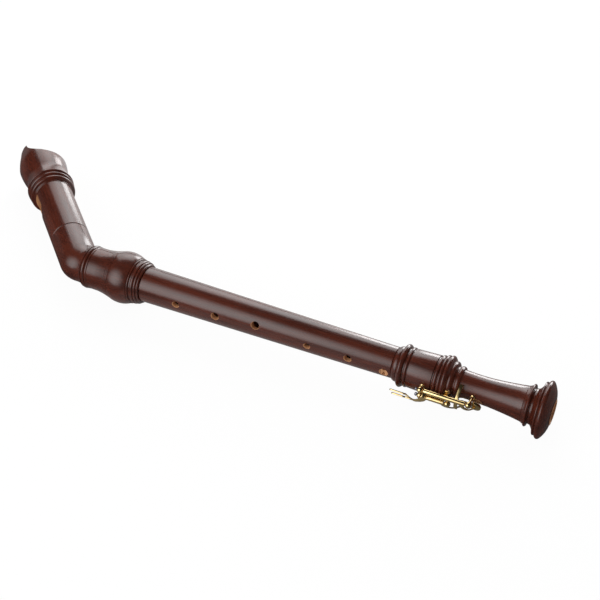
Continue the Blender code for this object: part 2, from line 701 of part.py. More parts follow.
def build_key(frame, name, key, gold, leather, cork, steel):
    """One key of the pair: tube, touch, arms, cup and heel, with its rod, pad and spring."""
    angle = key["angle"]
    hinge = polar(0, angle, HINGE_HEIGHT)
    start = FRONT_POST_X + BALL_R + GAP
    rear = rear_post_x(name)
    end = rear - BALL_R - GAP
    axis = make_empty(name + "_hinge", frame, polar(start, angle, HINGE_HEIGHT))
    body = make_object("key_" + name, finish_mesh("key_" + name, cylinder(TUBE_R, 0, end - start)),
                       axis, gold)

    cup_x, cup_angle = cup_places[name], key["cup_angle"]
    lift = opened(hinge)
    seated = lift @ radial_place(cup_x, cup_angle) @ upright()
    pad_face = SEAT_HEIGHT + PAD_REST
    pad_back = pad_face + PAD_THICKNESS
    back = pad_back + GAP + CUP_BACK
    cup_rim = pad_face + PAD_REACH
    cup_outline = ((pad_back + GAP, 0), (pad_back + GAP, cup_inner), (cup_rim, cup_inner),
                   (cup_rim, cup_outer), (back - CUP_BACK / 2, cup_outer),
                   (back, cup_outer - CUP_BACK), (back + GAP, 0))
    cup = placed(turned(cup_outline, False, 24), seated)
    path = along_from(key["cup_arm"], cup_x)
    ends = path[1:] + [(cup_x, cup_angle, back + ARM_THICKNESS / 3)]
    cup_arm = path[:1] + [as_length_angle_height(lift @ polar(*point)) for point in ends]
    before, touch_angle, touch_height, touch_length = key["touch"]
    touch_x = FRONT_POST_X - before
    heel = along_from(key["heel"], end)
    lug_side = LUG_SIZE / 2 + LUG_CLEARANCE + SPRING_R
    lug_top = HINGE_HEIGHT - TUBE_R / 2
    lug = bmesh.new()
    bmesh.ops.create_cube(lug, size=1.0)
    lug_x = FRONT_POST_X + SPRING_LENGTH - SPRING_TIP
    lug_height = lug_top - SPRING_HEIGHT + LUG_SIZE
    lug_place = radial_place(lug_x, angle) @ Matrix.Translation(
        (0, -lug_side, lug_top - lug_height / 2))
    lug.transform(lug_place @ Matrix.Diagonal((LUG_SIZE, LUG_SIZE, lug_height, 1)))
    members = {
        "cup": cup,
        "cup_arm": strap(cup_arm, ARM_WIDTH, ARM_THICKNESS),
        "touch_arm": strap(along_from(key["touch_arm"], start), ARM_WIDTH, ARM_THICKNESS),
        "touch": touch_plate(polar(touch_x, touch_angle, touch_height), touch_length),
        "heel": strap(heel, key["heel_width"], ARM_THICKNESS),
        "lug": lug,
    }
    for member, shape in members.items():
        combine(body, make_tool(name + "_" + member, shape, frame), "UNION")
    bore = placed(cylinder(tube_bore, start - GAP, end + GAP, 12), Matrix.Translation(hinge))
    combine(body, make_tool(name + "_bore", bore, frame), "DIFFERENCE")

    pad = turned(((pad_face, 0), (pad_face, PAD_R), (pad_back, PAD_R), (pad_back, 0)), False, 24)
    place = Matrix.Translation(-polar(start, angle, HINGE_HEIGHT)) @ seated
    make_object(name + "_pad", finish_mesh(name + "_pad", pad, place), axis, leather)

    heel_x, heel_angle, heel_height = heel[-1]
    heel_x_low = heel_x - BUMPER_HALF
    level = widest(foot_profile(), heel_x_low, heel_x + BUMPER_HALF) + GAP
    top = heel_height - ARM_THICKNESS / 2 - GAP
    block = cylinder(BUMPER_HALF, level, top, 12)
    inward = heel_angle - math.degrees(BUMPER_HALF / heel_height)
    place = Matrix.Translation(-polar(start, angle, HINGE_HEIGHT)) @ radial_place(
        heel_x, inward) @ upright()
    make_object(name + "_bumper", finish_mesh(name + "_bumper", block, place), axis, cork)

    rod_start = FRONT_POST_X - BALL_R - GAP
    rod_end = rear + BALL_R
    rod = turned(((-2 * ROD_HEAD, 0), (-2 * ROD_HEAD, PIVOT_R), (-ROD_HEAD, ROD_HEAD_R),
                  (0, ROD_HEAD_R), (0, PIVOT_R), (rod_end - rod_start, PIVOT_R),
                  (rod_end - rod_start, 0)), False, 12)
    make_object(name + "_pivot_rod", finish_mesh(name + "_pivot_rod", rod), frame, steel,
                polar(rod_start, angle, HINGE_HEIGHT))
    spring = cylinder(SPRING_R, -POST_STEM_R - GAP, SPRING_LENGTH - POST_STEM_R, 8)
    make_object(name + "_spring", finish_mesh(name + "_spring", spring), frame, steel,
                polar(FRONT_POST_X, angle, SPRING_HEIGHT))


def lowest_points():
    """The three rims on which the instrument lies, as points in its own frame."""
    turn = math.radians(BEND)
    along = Vector((-math.cos(turn), math.sin(turn), 0))
    head = max(shifted(head_profile(), head_start), key=lambda point: point[1])
    barrel = max(outline_points((0, BARREL_R), BARREL_STROKES), key=lambda point: point[1])
    bell = max(foot_profile(), key=lambda point: point[1])
    points = [Vector((bend_x, 0, 0)) + along * head[0] - Vector((0, 0, head[1]))]
    points.append(Vector((barrel[0] - BARREL_LENGTH, 0, -barrel[1])))
    points.append(Vector((foot_start + bell[0], 0, -bell[1])))
    return points


def lay_down(root):
    """Turn the instrument onto its three rims, with the origin under the middle of its box."""
    head, barrel, bell = lowest_points()
    normal = (bell - barrel).cross(head - barrel).normalized()
    root.rotation_mode = "QUATERNION"
    root.rotation_quaternion = normal.rotation_difference(Vector((0, 0, 1)))
    bpy.context.view_layer.update()
    depsgraph = bpy.context.evaluated_depsgraph_get()
    corners = []
    for item in bpy.context.scene.objects:
        if item.type == "MESH" and not item.hide_render:
            solid = item.evaluated_get(depsgraph)
            corners += [solid.matrix_world @ vertex.co for vertex in solid.data.vertices]
    low = [min(corner[axis] for corner in corners) for axis in range(3)]
    high = [max(corner[axis] for corner in corners) for axis in range(3)]
    root.location = (-(low[0] + high[0]) / 2, -(low[1] + high[1]) / 2, -low[2])
    bpy.context.view_layer.update()


def main():
    for item in list(bpy.data.objects):
        bpy.data.objects.remove(item, do_unlink=True)

    wood = make_material("stained_wood", (0.075, 0.018, 0.012), 0.32)
    cedar = make_material("cedar", (0.42, 0.20, 0.09), 0.7)
    gold = make_material("gold_plate", (0.72, 0.47, 0.19), 0.18, 1.0)
    steel = make_material("blued_steel", (0.25, 0.25, 0.28), 0.3, 1.0)
    cork = make_material("cork", (0.50, 0.32, 0.18), 0.9)
    leather = make_material("pad_leather", (0.62, 0.50, 0.36), 0.75)

    root = make_empty("recorder", None, (0, 0, 0))
    head_frame = make_empty("head_axis", root, (bend_x, 0, 0), 180 - BEND)
    foot_frame = make_empty("foot_axis", root, (foot_start, 0, 0))

    build_head(head_frame, wood, cedar)
    build_neck(root, wood)
    neck_cork = cork_ring(upper_leg, 1, TENON_LENGTH, TENON_R, CORK_SEAT, CORK_PROUD, CORK_INSET)
    make_object("neck_cork", finish_mesh("neck_cork", neck_cork), head_frame, cork)
    build_barrel(root, wood)
    build_middle(root, wood)
    upper_cork = cork_ring(GAP, -1, TENON_LENGTH, TENON_R, CORK_SEAT, CORK_PROUD, CORK_INSET)
    make_object("middle_upper_cork", finish_mesh("middle_upper_cork", upper_cork), root, cork)
    lower_cork = cork_ring(middle_end, 1, END_TENON_LENGTH, END_TENON_R, END_CORK_SEAT,
                           END_CORK_PROUD, CORK_INSET)
    make_object("middle_lower_cork", finish_mesh("middle_lower_cork", lower_cork), root, cork)
    build_foot(foot_frame, wood)
    build_posts(foot_frame, gold)
    for name, key in KEYS.items():
        build_key(foot_frame, name, key, gold, leather, cork, steel)
    lay_down(root)


main()
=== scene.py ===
"""Dressed model of a tenor recorder: turned and stained wood, corked tenons and a gilt double key.

Sizes in the outlines are millimetres and degrees. The bore runs along +X towards the bell, with
X = 0 at the barrel's lower lip, the finger holes face -Y and +Z is up. Angles round the bore
start at the finger side and grow upwards. The frame's joints say where that lies in the scene.
"""
import json
import math

import bpy
from bpy.props import FloatProperty, FloatVectorProperty, IntProperty, PointerProperty
from mathutils import Matrix, Vector


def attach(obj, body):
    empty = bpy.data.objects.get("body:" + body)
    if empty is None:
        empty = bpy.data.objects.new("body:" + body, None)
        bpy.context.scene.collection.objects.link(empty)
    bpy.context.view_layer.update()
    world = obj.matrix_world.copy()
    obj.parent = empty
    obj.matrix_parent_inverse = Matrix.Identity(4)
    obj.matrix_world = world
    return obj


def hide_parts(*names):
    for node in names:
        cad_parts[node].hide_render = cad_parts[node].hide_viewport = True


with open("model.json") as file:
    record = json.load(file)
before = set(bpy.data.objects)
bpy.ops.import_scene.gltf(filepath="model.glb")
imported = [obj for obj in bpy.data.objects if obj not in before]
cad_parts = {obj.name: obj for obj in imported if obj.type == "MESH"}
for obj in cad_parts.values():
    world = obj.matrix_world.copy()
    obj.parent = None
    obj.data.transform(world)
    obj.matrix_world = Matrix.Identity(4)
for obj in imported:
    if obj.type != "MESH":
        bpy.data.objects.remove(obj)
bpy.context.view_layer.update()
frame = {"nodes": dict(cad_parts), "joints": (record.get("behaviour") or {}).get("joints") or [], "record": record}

bl_info = {
    "name": "Tenor recorder",
    "version": (1, 0, 0),
    "blender": (4, 5, 0),
    "location": "3D View > Sidebar > Recorder",
    "description": "Turns, bores and stains the joints of a tenor recorder and makes its keys",
    "category": "Object",
}

MM = 0.001

# General values: the gap between neighbours, the distance that merges points, how far a
# cutter reaches past the wood, and the steps of round shapes
GAP = 0.3
MERGE = 0.002
FAR = 12.0
WOOD_STEPS = 160
METAL_STEPS = 48
PIN_STEPS = 32
SOCKET_STEPS = 24
SPRING_HOLE_STEPS = 16
SMOOTH_ANGLE = 32.0
ARC_STEPS = 7
EASE_STEPS = 4
EASE_BELOW = 158.0

# Neck
NECK_BORE = 12.0
UPPER_LEG_R = 18.3
LOWER_LEG_R = 17.3
UPPER_STRAIGHT = 31.8
LOWER_STRAIGHT = 0.8
INNER_CORNER = 0.5
OUTER_CORNER = 10.0
FLARE_LENGTH = 7.6
FLARE_ROOT = 0.4
FLARE_SCORE = 1.4
LIP_CHAMFER = 0.5
BEND_ROWS = 28
NECK_STEPS = 144

# Tenons
TENON_R = 14.6
TENON_LENGTH = 28.4
CORK_INSET = 4.7
CORK_SEAT = 1.0
CORK_PROUD = 0.6
GLUED_TENON_LENGTH = 20.7
END_TENON_R = 11.6
END_TENON_LENGTH = 29.3
END_CORK_SEAT = 0.7
END_CORK_PROUD = 0.5

# Head
HEAD_LENGTH = 155.7
HEAD_BORE = 12.8
BLOCK_LENGTH = 83.6
WINDOW_LENGTH = 6.5
WINDOW_HALF_WIDTH = 8.3
WINDOW_SINK = 4.0
LABIUM_THICKNESS = 0.8
RAMP_LENGTH = 23.5
RAMP_RISE = 5.0
WINDWAY_HEIGHT = 1.5
WINDWAY_HALF_ANGLE = 40.0
WINDWAY_STEPS = 20
TIP_SLICE = 10.0
TIP_LENGTH = 7.0
BEAK_LENGTH = 34.0
BEAK_FLOOR = 26.0
BEAK_PULL = 1.0
BEAK_STEPS = 32

# Barrel and middle joint
BARREL_LENGTH = 56.7
BARREL_R = 19.3
MIDDLE_LENGTH = 244.9
MIDDLE_TOP_R = 16.5
MIDDLE_END_R = 13.8
MIDDLE_BORE_TOP = 12.0
MIDDLE_BORE_END = 8.9
FINGER_HOLES = (
    (38.8, 6.0, 3.0),
    (78.5, 8.2, 3.5),
    (117.9, 20.6, 3.7),
    (167.8, 3.4, 2.8),
    (206.0, 4.4, 3.2),
)
THUMB_HOLE = (28.7, 184.0, 3.3)
DOUBLE_HOLE_X = 239.0
DOUBLE_HOLE_ANGLE = -9.0
DOUBLE_HOLE_SPREAD = 12.5
DOUBLE_HOLE_R = 1.5
RECESS_HALF_LENGTH = 4.2
RECESS_HALF_WIDTH = 5.2
RECESS_DEPTH = 1.6
RIM_STEPS = 6
RIM_CURVE = 1.4

# Foot
FOOT_LENGTH = 137.0
FOOT_BORE = 8.9
FOOT_LIP_R = 13.9
BELL_R = 23.4
BELL_FACE_R = 11.0

# Key work, placed from the foot's upper end
HINGE_HEIGHT = 23.0
FRONT_POST_X = 30.0
PIVOT_R = 0.8
POST_STEM_R = 1.2
POST_BASE_R = 2.2
POST_BASE_HEIGHT = 0.8
SHANK_R = 1.0
SHANK_DEPTH = 1.8
KEY_OPEN = 10.0
PAD_R = 4.0
PAD_THICKNESS = 2.2
PAD_REACH = 0.9
PAD_REST = 0.15
CUP_WALL = 0.5
CUP_BACK = 0.8
SEAT_HEIGHT = 10.9
SEAT_MARGIN = 0.6
TONE_HOLE_R = 3.2
TOUCH_TILT = -46.6
TOUCH_CORNER = 2.2
CORNER_STEPS = 8
SPRING_R = 0.25
SPRING_LENGTH = 10.5
SPRING_HEIGHT = 20.2
SPRING_TIP = 3.0
LUG_SIZE = 0.8
LUG_CLEARANCE = 0.8
FIRST_CUP_X = 65.3
CUP_MARGIN = 0.6
STRAP_SPAN_STEPS = 6
STRAP_SIDES = 20
STRAP_EDGE_CURVE = 0.45
STRAP_FACE_CURVE = 0.6
BALL_STEPS = 24

# Each stroke of an outline ends at a length and a radius, and swells outwards by its third value.
HEAD_STROKES = (
    (LIP_CHAMFER, UPPER_LEG_R, 0.0), (72.9, 18.4, 0.0), (75.7, 19.2, 0.0), (76.1, 21.4, 0.0),
    (79.4, 21.7, 0.75), (79.8, 20.5, 0.0), (81.4, 20.7, 0.0), (81.8, 22.0, 0.0),
    (84.6, 22.4, 0.7), (85.0, 21.2, 0.0), (87.0, 21.5, 0.0), (87.5, 22.9, 0.0),
    (88.3, 23.4, 0.1), (102.8, 20.8, -0.3), (127.1, 23.8, 0.7), (147.3, 18.8, 0.4),
    (HEAD_LENGTH, 16.3, 0.3),
)
BARREL_STROKES = (
    (LIP_CHAMFER, 19.6, 0.0), (2.2, 19.8, 0.2), (2.6, 19.3, 0.0), (3.0, 19.7, 0.0),
    (10.7, 19.8, 0.0), (19.7, 21.2, -0.1), (25.9, 22.8, 0.0), (26.2, 22.4, 0.0),
    (26.5, 23.0, 0.0), (45.4, 21.5, 2.0), (45.7, 20.7, 0.0), (45.9, 20.9, 0.0),
    (47.4, 21.0, 0.35), (47.7, 19.6, 0.0), (48.9, 19.5, 0.0), (49.2, 20.2, 0.0),
    (51.8, 20.1, 0.4), (52.0, 19.1, 0.0), (52.2, 19.4, 0.0), (54.4, 19.4, 0.4),
    (54.6, 18.0, 0.0), (55.0, 18.0, 0.0), (55.2, 18.5, 0.0), (BARREL_LENGTH, 17.8, 0.2),
)
# The flare is counted back from the neck's shoulder
FLARE_STROKES = (
    (-3.6, 20.0, -0.3), (-3.3, 19.1, 0.0), (-2.5, 19.4, 0.0), (-2.2, 20.3, 0.0),
    (0.0, BARREL_R, 0.5),
)
FOOT_STROKES = (
    (0.3, 14.4, 0.0), (4.4, 15.5, 0.5), (4.7, 14.9, 0.0), (5.1, 17.0, 0.0),
    (9.6, 17.5, 1.7), (10.0, 15.9, 0.0), (10.9, 15.9, 0.0), (11.2, 17.0, 0.0),
    (13.6, 17.1, 0.5), (13.9, 16.1, 0.0), (14.4, 16.1, 0.0), (14.7, 17.0, 0.0),
    (35.9, 17.8, 0.0), (36.2, 16.7, 0.0), (37.1, 16.7, 0.0), (37.4, 17.8, 0.0),
    (40.4, 18.2, 0.75), (40.7, 17.3, 0.0), (41.2, 17.4, 0.0), (41.5, 19.3, 0.0),
    (43.7, 19.6, 0.55), (44.0, 19.0, 0.0), (48.3, 19.0, 1.6), (49.7, 16.7, 0.0),
    (52.6, 15.9, 0.6), (53.6, 13.6, 0.0), (55.0, 13.4, -0.2), (55.3, 14.0, 0.0),
    (58.7, 13.8, 0.6), (59.1, 12.3, 0.0), (60.2, 12.2, 0.0), (84.5, 12.1, -0.35),
    (112.9, 15.3, -0.3), (116.0, 16.7, -0.1), (116.3, 17.4, 0.0), (118.4, 17.5, 0.75),
    (118.7, 15.0, 0.0), (119.2, 14.9, 0.0), (121.4, 15.4, 0.15), (125.3, 22.2, -0.7),
    (126.6, 22.7, 0.35), (127.2, 22.0, 0.0), (127.7, 23.2, 0.0), (132.1, BELL_R, 1.6),
    (136.3, 11.8, 0.85), (FOOT_LENGTH, BELL_FACE_R, 0.0),
)

# Places of the fine scored lines along each joint
HEAD_SCORES = (73.7, 75.0)
BARREL_SCORES = (22.2, 24.2)
FOOT_SCORES = (113.6, 115.0)

# Each key as in the frame: hinge and cup angles, the rear post's distance before the cup, the
# touch (place before the front post, angle, height, length), and the arms' and heel's points.
KEYS = {
    "low_csharp": {
        "angle": -14.0,
        "cup_angle": -50.0,
        "post_before_cup": 11.3,
        "cup_arm": ((-17.8, -14.0, 23.0), (-13.8, -27.0, 22.4), (-7.8, -38.0, 20.2),
                    (-2.8, -47.0, 16.6)),
        "touch": (20.0, -43.5, 25.3, 12.6),
        "touch_arm": ((2.0, -14.0, 23.6), (0.8, -19.0, 25.0), (-2.9, -26.0, 25.7),
                      (-9.1, -38.0, 25.6), (-17.1, -43.5, 25.3)),
        "heel": ((-2.4, -14.0, 22.4), (-1.4, -5.0, 19.7), (-0.1, 3.0, 18.9),
                 (1.1, 15.5, 18.9)),
        "heel_width": 3.6,
    },
    "low_c": {
        "angle": 3.0,
        "cup_angle": -28.0,
        "post_before_cup": 3.5,
        "cup_arm": ((-12.0, 3.0, 23.0), (-8.0, -8.0, 22.4), (-4.0, -20.0, 19.5),
                    (-1.5, -25.5, 16.4)),
        "touch": (19.6, -26.0, 24.0, 14.8),
        "touch_arm": ((1.9, 3.0, 23.6), (1.1, -2.0, 27.0), (-1.1, -9.0, 28.3),
                      (-5.1, -17.0, 28.3), (-10.1, -23.5, 26.6), (-16.1, -26.0, 24.0)),
        "heel": ((-7.4, -17.5, 23.8), (-7.4, -8.0, 24.2), (-7.4, 3.0, 23.2),
                 (-7.4, 20.0, 18.6), (-7.4, 41.0, 15.2)),
        "heel_width": 3.2,
    },
}

# Camera, placed in the instrument's own frame
CAMERA_PLACE = (486.7, -704.3, 704.9)
CAMERA_FORWARD = (-0.3237, 0.6867, -0.6509)
CAMERA_LENS = 72.0
CAMERA_SENSOR = 36.0

# Soft lamps: compass angle from +Y towards +X, height angle, width, height and brightness, and
# whether the lamp fades towards its rim
LAMP_DISTANCE = 1.7
LAMPS = {
    "front_softbox": (-154.0, 24.0, 3.0, 3.0, 3.2, True),
    "back_softbox": (-29.0, 33.0, 1.55, 1.5, 2.2, False),
    "back_core": (-22.0, 38.0, 1.5, 1.5, 1.6, True),
    "back_panel": (9.0, 8.0, 1.2, 0.95, 8.0, False),
}

# The floor: its size in metres, how many millimetres it lies under the object, its grey, and
# how much of it glows for the camera and in reflections
FLOOR_SIZE = 12.0
FLOOR_DROP = 0.2
FLOOR_SHADE = 0.55
CAMERA_GLOW = 0.95
MIRROR_GLOW = 0.5

# How the mirrored floor and ceiling change from one place to another: painted light makes the floor glow brighter
# northward in reflections, and painted shade darkens its reflection beside the head and along the foot. Each gives
# the two places, which are metres on the floor and a share of straight up overhead, then the values there
PAINTED_GLOW_NORTHWARD = (-0.05, 0.25, 0.4, 2.2)
PAINTED_SHADE_BESIDE_HEAD = (-0.02, 0.03, 1.0, 0.15)
PAINTED_SHADE_ALONG_FOOT = (0.10, 0.28, 1.0, 0.2)
CEILING_BY_HEIGHT = (0.0, 0.3, 0.12, 0.02)
SOFT_FILL = 0.4


def joint(name):
    """The frame's joint of that name."""
    return next(found for found in frame["joints"] if found["name"] == name)


def instrument_place():
    """Where the instrument's own frame lies, from the axes of its joints."""
    twist = joint("middle_twist")
    along = Vector(twist["axis"]).normalized()
    rise = along.cross(Vector(joint("tuning_slide")["axis"])).normalized()
    place = Matrix((along, rise.cross(along), rise)).transposed().to_4x4()
    place.translation = Vector(twist["pos_m"])
    return place


INSTRUMENT = instrument_place()
BEND = math.pi - Vector(joint("tuning_slide")["axis"]).angle(Vector(joint("middle_twist")["axis"]))
BEND_HALF = math.tan(BEND / 2)

# Places that follow from the values above
shoulder_x = -BARREL_LENGTH - GAP
bend_x = shoulder_x - FLARE_LENGTH - LOWER_STRAIGHT - LOWER_LEG_R * BEND_HALF - INNER_CORNER
upper_leg = UPPER_STRAIGHT + UPPER_LEG_R * BEND_HALF + INNER_CORNER
head_start = upper_leg + GAP
head_end = head_start + HEAD_LENGTH
block_start = head_end - BLOCK_LENGTH
socket_r = TENON_R + CORK_PROUD + GAP
socket_depth = TENON_LENGTH + GAP
end_socket_r = END_TENON_R + END_CORK_PROUD + GAP
middle_end = GAP + MIDDLE_LENGTH
foot_start = middle_end + GAP
tube_bore = PIVOT_R + GAP
cup_inner = PAD_R + GAP
cup_outer = cup_inner + CUP_WALL
pad_face = SEAT_HEIGHT + PAD_REST
pad_back = pad_face + PAD_THICKNESS
cup_back = pad_back + GAP + CUP_BACK
cup_places = {"low_csharp": FIRST_CUP_X, "low_c": FIRST_CUP_X + 2 * cup_outer + CUP_MARGIN}

# Where the neck's two legs meet, each leg's direction, and its side with the window or the holes
elbow = Vector((bend_x, 0, 0))
up_leg = Vector((-math.cos(BEND), math.sin(BEND), 0))
up_side = Vector((-math.sin(BEND), -math.cos(BEND), 0))
down_leg = Vector((1, 0, 0))
down_side = Vector((0, -1, 0))

HEAD_PLACE = INSTRUMENT @ Matrix.Translation(elbow * MM) @ Matrix.Rotation(
    math.pi - BEND, 4, "Z")
FOOT_PLACE = INSTRUMENT @ Matrix.Translation(Vector((foot_start, 0, 0)) * MM)


def measure(name, description, value, least=0.0):
    """A length that can be set, given in millimetres."""
    return FloatProperty(name=name, description=description, default=value * MM,
                         min=least * MM, unit="LENGTH")


class RecorderSizes(bpy.types.PropertyGroup):
    """Sizes of the details that a maker would change."""

    edge_ease: measure("Edge ease", "How far a turned edge is rounded over", 0.15)
    score_depth: measure("Score depth", "Depth of the fine lines cut round the joints", 0.3)
    score_width: measure("Score width", "Width of the fine lines cut round the joints", 0.6, 0.1)
    hole_bevel: measure("Hole bevel", "How far the rim of a finger hole is eased", 0.7)
    tube_radius: measure("Tube radius", "Outside radius of the keys' hinge tubes", 2.2)
    ball_radius: measure("Ball radius", "Radius of the balls on the posts", 2.8)
    arm_width: measure("Arm width", "Width of the keys' arms", 3.0)
    arm_thickness: measure("Arm thickness", "Thickness of the keys' arms and heels", 1.2)
    touch_width: measure("Touch width", "Width of the finger plates", 6.4)
    touch_thickness: measure("Touch thickness", "Thickness of the finger plates", 1.2)
    touch_rounding: measure("Touch rounding", "How far the finger plates' edges are rounded", 0.4)
    wood_steps: IntProperty(
        name="Turning steps", description="Faces round a wooden joint",
        default=WOOD_STEPS, min=16, max=256)


def colour(name, description, value):
    """A colour that can be picked, given as linear red, green and blue."""
    return FloatVectorProperty(name=name, description=description, default=value, subtype="COLOR",
                               size=3, min=0.0, max=1.0)


class RecorderColours(bpy.types.PropertyGroup):
    """Colours of the woods, metals and soft parts."""

    stain: colour("Stain", "Main colour of the stained wood", (0.094, 0.0180, 0.0082))
    stain_dark: colour("Dark stain", "Darker streaks of the stained wood", (0.048, 0.0100, 0.0056))
    pore: colour("Pores", "Dark pores of the stained wood", (0.012, 0.004, 0.004))
    bare: colour("Bare wood", "Wood where the stain is cut through", (0.60, 0.31, 0.15))
    bare_dark: colour("Bare grain", "Grain lines in the bare wood", (0.38, 0.17, 0.075))
    cedar: colour("Cedar", "The block's planed wood", (0.51, 0.21, 0.089))
    cork: colour("Cork", "Cork on the tenons and under the heels", (0.51, 0.32, 0.18))
    speck: colour("Cork specks", "Dark specks between grains of cork", (0.09, 0.04, 0.02))
    gold: colour("Gold", "Gilt plate on the keys and posts", (1.0, 0.75, 0.36))
    steel: colour("Steel", "Pivot rods and needle springs", (0.24, 0.24, 0.27))
    leather: colour("Leather", "Skin on the key pads", (0.60, 0.48, 0.34))
    floor: colour("Floor", "The floor and the background", (1.0, 1.0, 1.0))


class Value:
    """One output of a shader node, on which Python's own signs do the maths."""

    def __init__(self, recipe, output):
        self.recipe = recipe
        self.output = output

    def maths(self, operation, *values):
        inputs = dict(enumerate(values))
        return self.recipe.node("ShaderNodeMath", {"operation": operation}, inputs)

    def larger(self, other):
        return self.maths("MAXIMUM", self, other)

    def __add__(self, other):
        return self.maths("ADD", self, other)

    def __radd__(self, other):
        return self.maths("ADD", other, self)

    def __sub__(self, other):
        return self.maths("SUBTRACT", self, other)

    def __rsub__(self, other):
        return self.maths("SUBTRACT", other, self)

    def __mul__(self, other):
        return self.maths("MULTIPLY", self, other)

    def __rmul__(self, other):
        return self.maths("MULTIPLY", other, self)


class Recipe:
    """The nodes of one material, of a lamp or of the world."""

    def __init__(self, tree):
        self.tree = tree
        tree.nodes.clear()

    def node(self, kind, settings=None, inputs=None, output=0):
        """Add a node, give it its settings, then its values and links, and return an output."""
        made = self.tree.nodes.new(kind)
        for name, value in (settings or {}).items():
            setattr(made, name, value)
        for name, value in (inputs or {}).items():
            if isinstance(value, Value):
                self.tree.links.new(value.output, made.inputs[name])
            else:
                made.inputs[name].default_value = value
        return Value(self, made.outputs[output])

    def mix(self, factor, first, second):
        """A colour between two colours."""
        return self.node("ShaderNodeMix", {"data_type": "RGBA"},
                         {0: factor, 6: full(first), 7: full(second)}, 2)

    def between(self, value, low, high, start=0.0, end=1.0):
        """A value that goes smoothly from start to end as another goes from low to high."""
        return self.node("ShaderNodeMapRange", {"interpolation_type": "SMOOTHSTEP"}, {
            "Value": value, "From Min": low, "From Max": high, "To Min": start, "To Max": end})

    def noise(self, vector, cell, detail=2.0, rough=0.5):
        """Soft random value in cells of a size in millimetres along each axis."""
        scale = [1 / (size * MM) for size in cell]
        cells = self.node("ShaderNodeVectorMath", {"operation": "MULTIPLY"}, {0: vector, 1: scale})
        return self.node("ShaderNodeTexNoise", {"noise_dimensions": "3D"}, {
            "Vector": cells, "Scale": 1.0, "Detail": detail, "Roughness": rough})

    def axis(self, vector, index):
        """One of the three numbers of a vector."""
        return self.node("ShaderNodeSeparateXYZ", None, {0: vector}, index)

    def clouded(self, noise, value, share):
        """A colour that sinks to a share of itself where a noise is low."""
        return self.mix(self.between(noise, 0.35, 0.65), toned(value, share), value)

    def bump(self, strength, distance, height):
        """The surface's direction as tilted by a height, which a distance in millimetres scales."""
        return self.node("ShaderNodeBump", None, {
            "Strength": strength, "Distance": distance * MM, "Height": height})

    def along_piece(self, turn=0.0):
        """Object coordinates turned so that their X runs along the piece."""
        place = self.node("ShaderNodeTexCoord", output=3)
        return self.node("ShaderNodeMapping", {"vector_type": "TEXTURE"},
                         {"Vector": place, "Rotation": (0.0, 0.0, turn)})

    def finish(self, surface, kind="ShaderNodeOutputMaterial"):
        """Send a shader to the output of the material, lamp or world."""
        made = self.tree.nodes.new(kind)
        self.tree.links.new(surface.output, made.inputs["Surface"])

    def coat(self, inputs):
        """Finish the material with a surface of these values."""
        self.finish(self.node("ShaderNodeBsdfPrincipled", None, inputs))


def full(value):
    """A colour with its alpha, or a linked value as it is."""
    return value if isinstance(value, Value) else (*value, 1.0)


def toned(value, share):
    """A colour made darker, or lighter, by a share."""
    return [channel * share for channel in value]


def new_material(name):
    """A material with an empty recipe."""
    material = bpy.data.materials.new(name)
    material.use_nodes = True
    return material, Recipe(material.node_tree)


def stained_wood(name, colours, turn=0.0):
    """Fine-pored wood under a dark stain and a satin oil finish."""
    material, recipe = new_material(name)
    place = recipe.along_piece(turn)
    tone = recipe.noise(place, (70, 9, 9))
    streak = recipe.noise(place, (26, 0.8, 0.8), 3.0)
    pores = recipe.between(recipe.noise(place, (3.5, 0.2, 0.2), 1.0), 0.6, 0.7)
    depth = recipe.between(tone * 0.5 + streak * 0.5, 0.36, 0.62)
    wood = recipe.mix(depth, colours.stain_dark, colours.stain)
    recipe.coat({
        "Base Color": recipe.mix(pores * 0.45, wood, colours.pore),
        "Roughness": 0.2 + streak * 0.1 + pores * 0.15,
        "Normal": recipe.bump(0.25, 0.02, streak * 0.4 - pores),
        "Coat Weight": 0.2, "Coat Roughness": 0.12})
    return material


def bare_wood(name, light, dark, turn=0.0):
    """Planed wood without stain, with long fine grain lines."""
    material, recipe = new_material(name)
    place = recipe.along_piece(turn)
    tone = recipe.noise(place, (40, 5, 5))
    lines = recipe.noise(place, (22, 0.45, 0.45), 3.0)
    depth = recipe.between(tone * 0.35 + lines * 0.65, 0.35, 0.62)
    recipe.coat({
        "Base Color": recipe.mix(depth, dark, light), "Roughness": 0.5 + lines * 0.2,
        "Normal": recipe.bump(0.4, 0.05, lines)})
    return material


def gilt_metal(name, colours):
    """Polished gilt plate with faint rub marks."""
    material, recipe = new_material(name)
    place = recipe.along_piece()
    rubs = recipe.noise(place, (5, 0.12, 0.12), 2.0)
    recipe.coat({
        "Base Color": recipe.clouded(recipe.noise(place, (6, 6, 6)), colours.gold, 0.78),
        "Roughness": 0.08 + rubs * 0.12, "Metallic": 1.0,
        "Normal": recipe.bump(0.1, 0.01, rubs)})
    return material


def blued_steel(name, colours):
    """Drawn steel with fine lines along it."""
    material, recipe = new_material(name)
    lines = recipe.noise(recipe.along_piece(), (8, 0.08, 0.08), 2.0)
    recipe.coat({
        "Base Color": recipe.mix(lines, colours.steel, toned(colours.steel, 1.8)),
        "Roughness": 0.18 + lines * 0.2, "Metallic": 1.0})
    return material


def sheet_cork(name, colours):
    """Ground cork, with dark specks between its grains."""
    material, recipe = new_material(name)
    place = recipe.along_piece()
    grains = recipe.noise(place, (1.3, 1.3, 1.3), 4.0, 0.65)
    specks = recipe.between(recipe.noise(place, (0.6, 0.6, 0.6), 2.0), 0.58, 0.66)
    skin = recipe.clouded(grains, colours.cork, 0.6)
    recipe.coat({
        "Base Color": recipe.mix(specks * 0.7, skin, colours.speck),
        "Roughness": 0.75 + grains * 0.2, "Normal": recipe.bump(0.5, 0.1, grains - specks)})
    return material


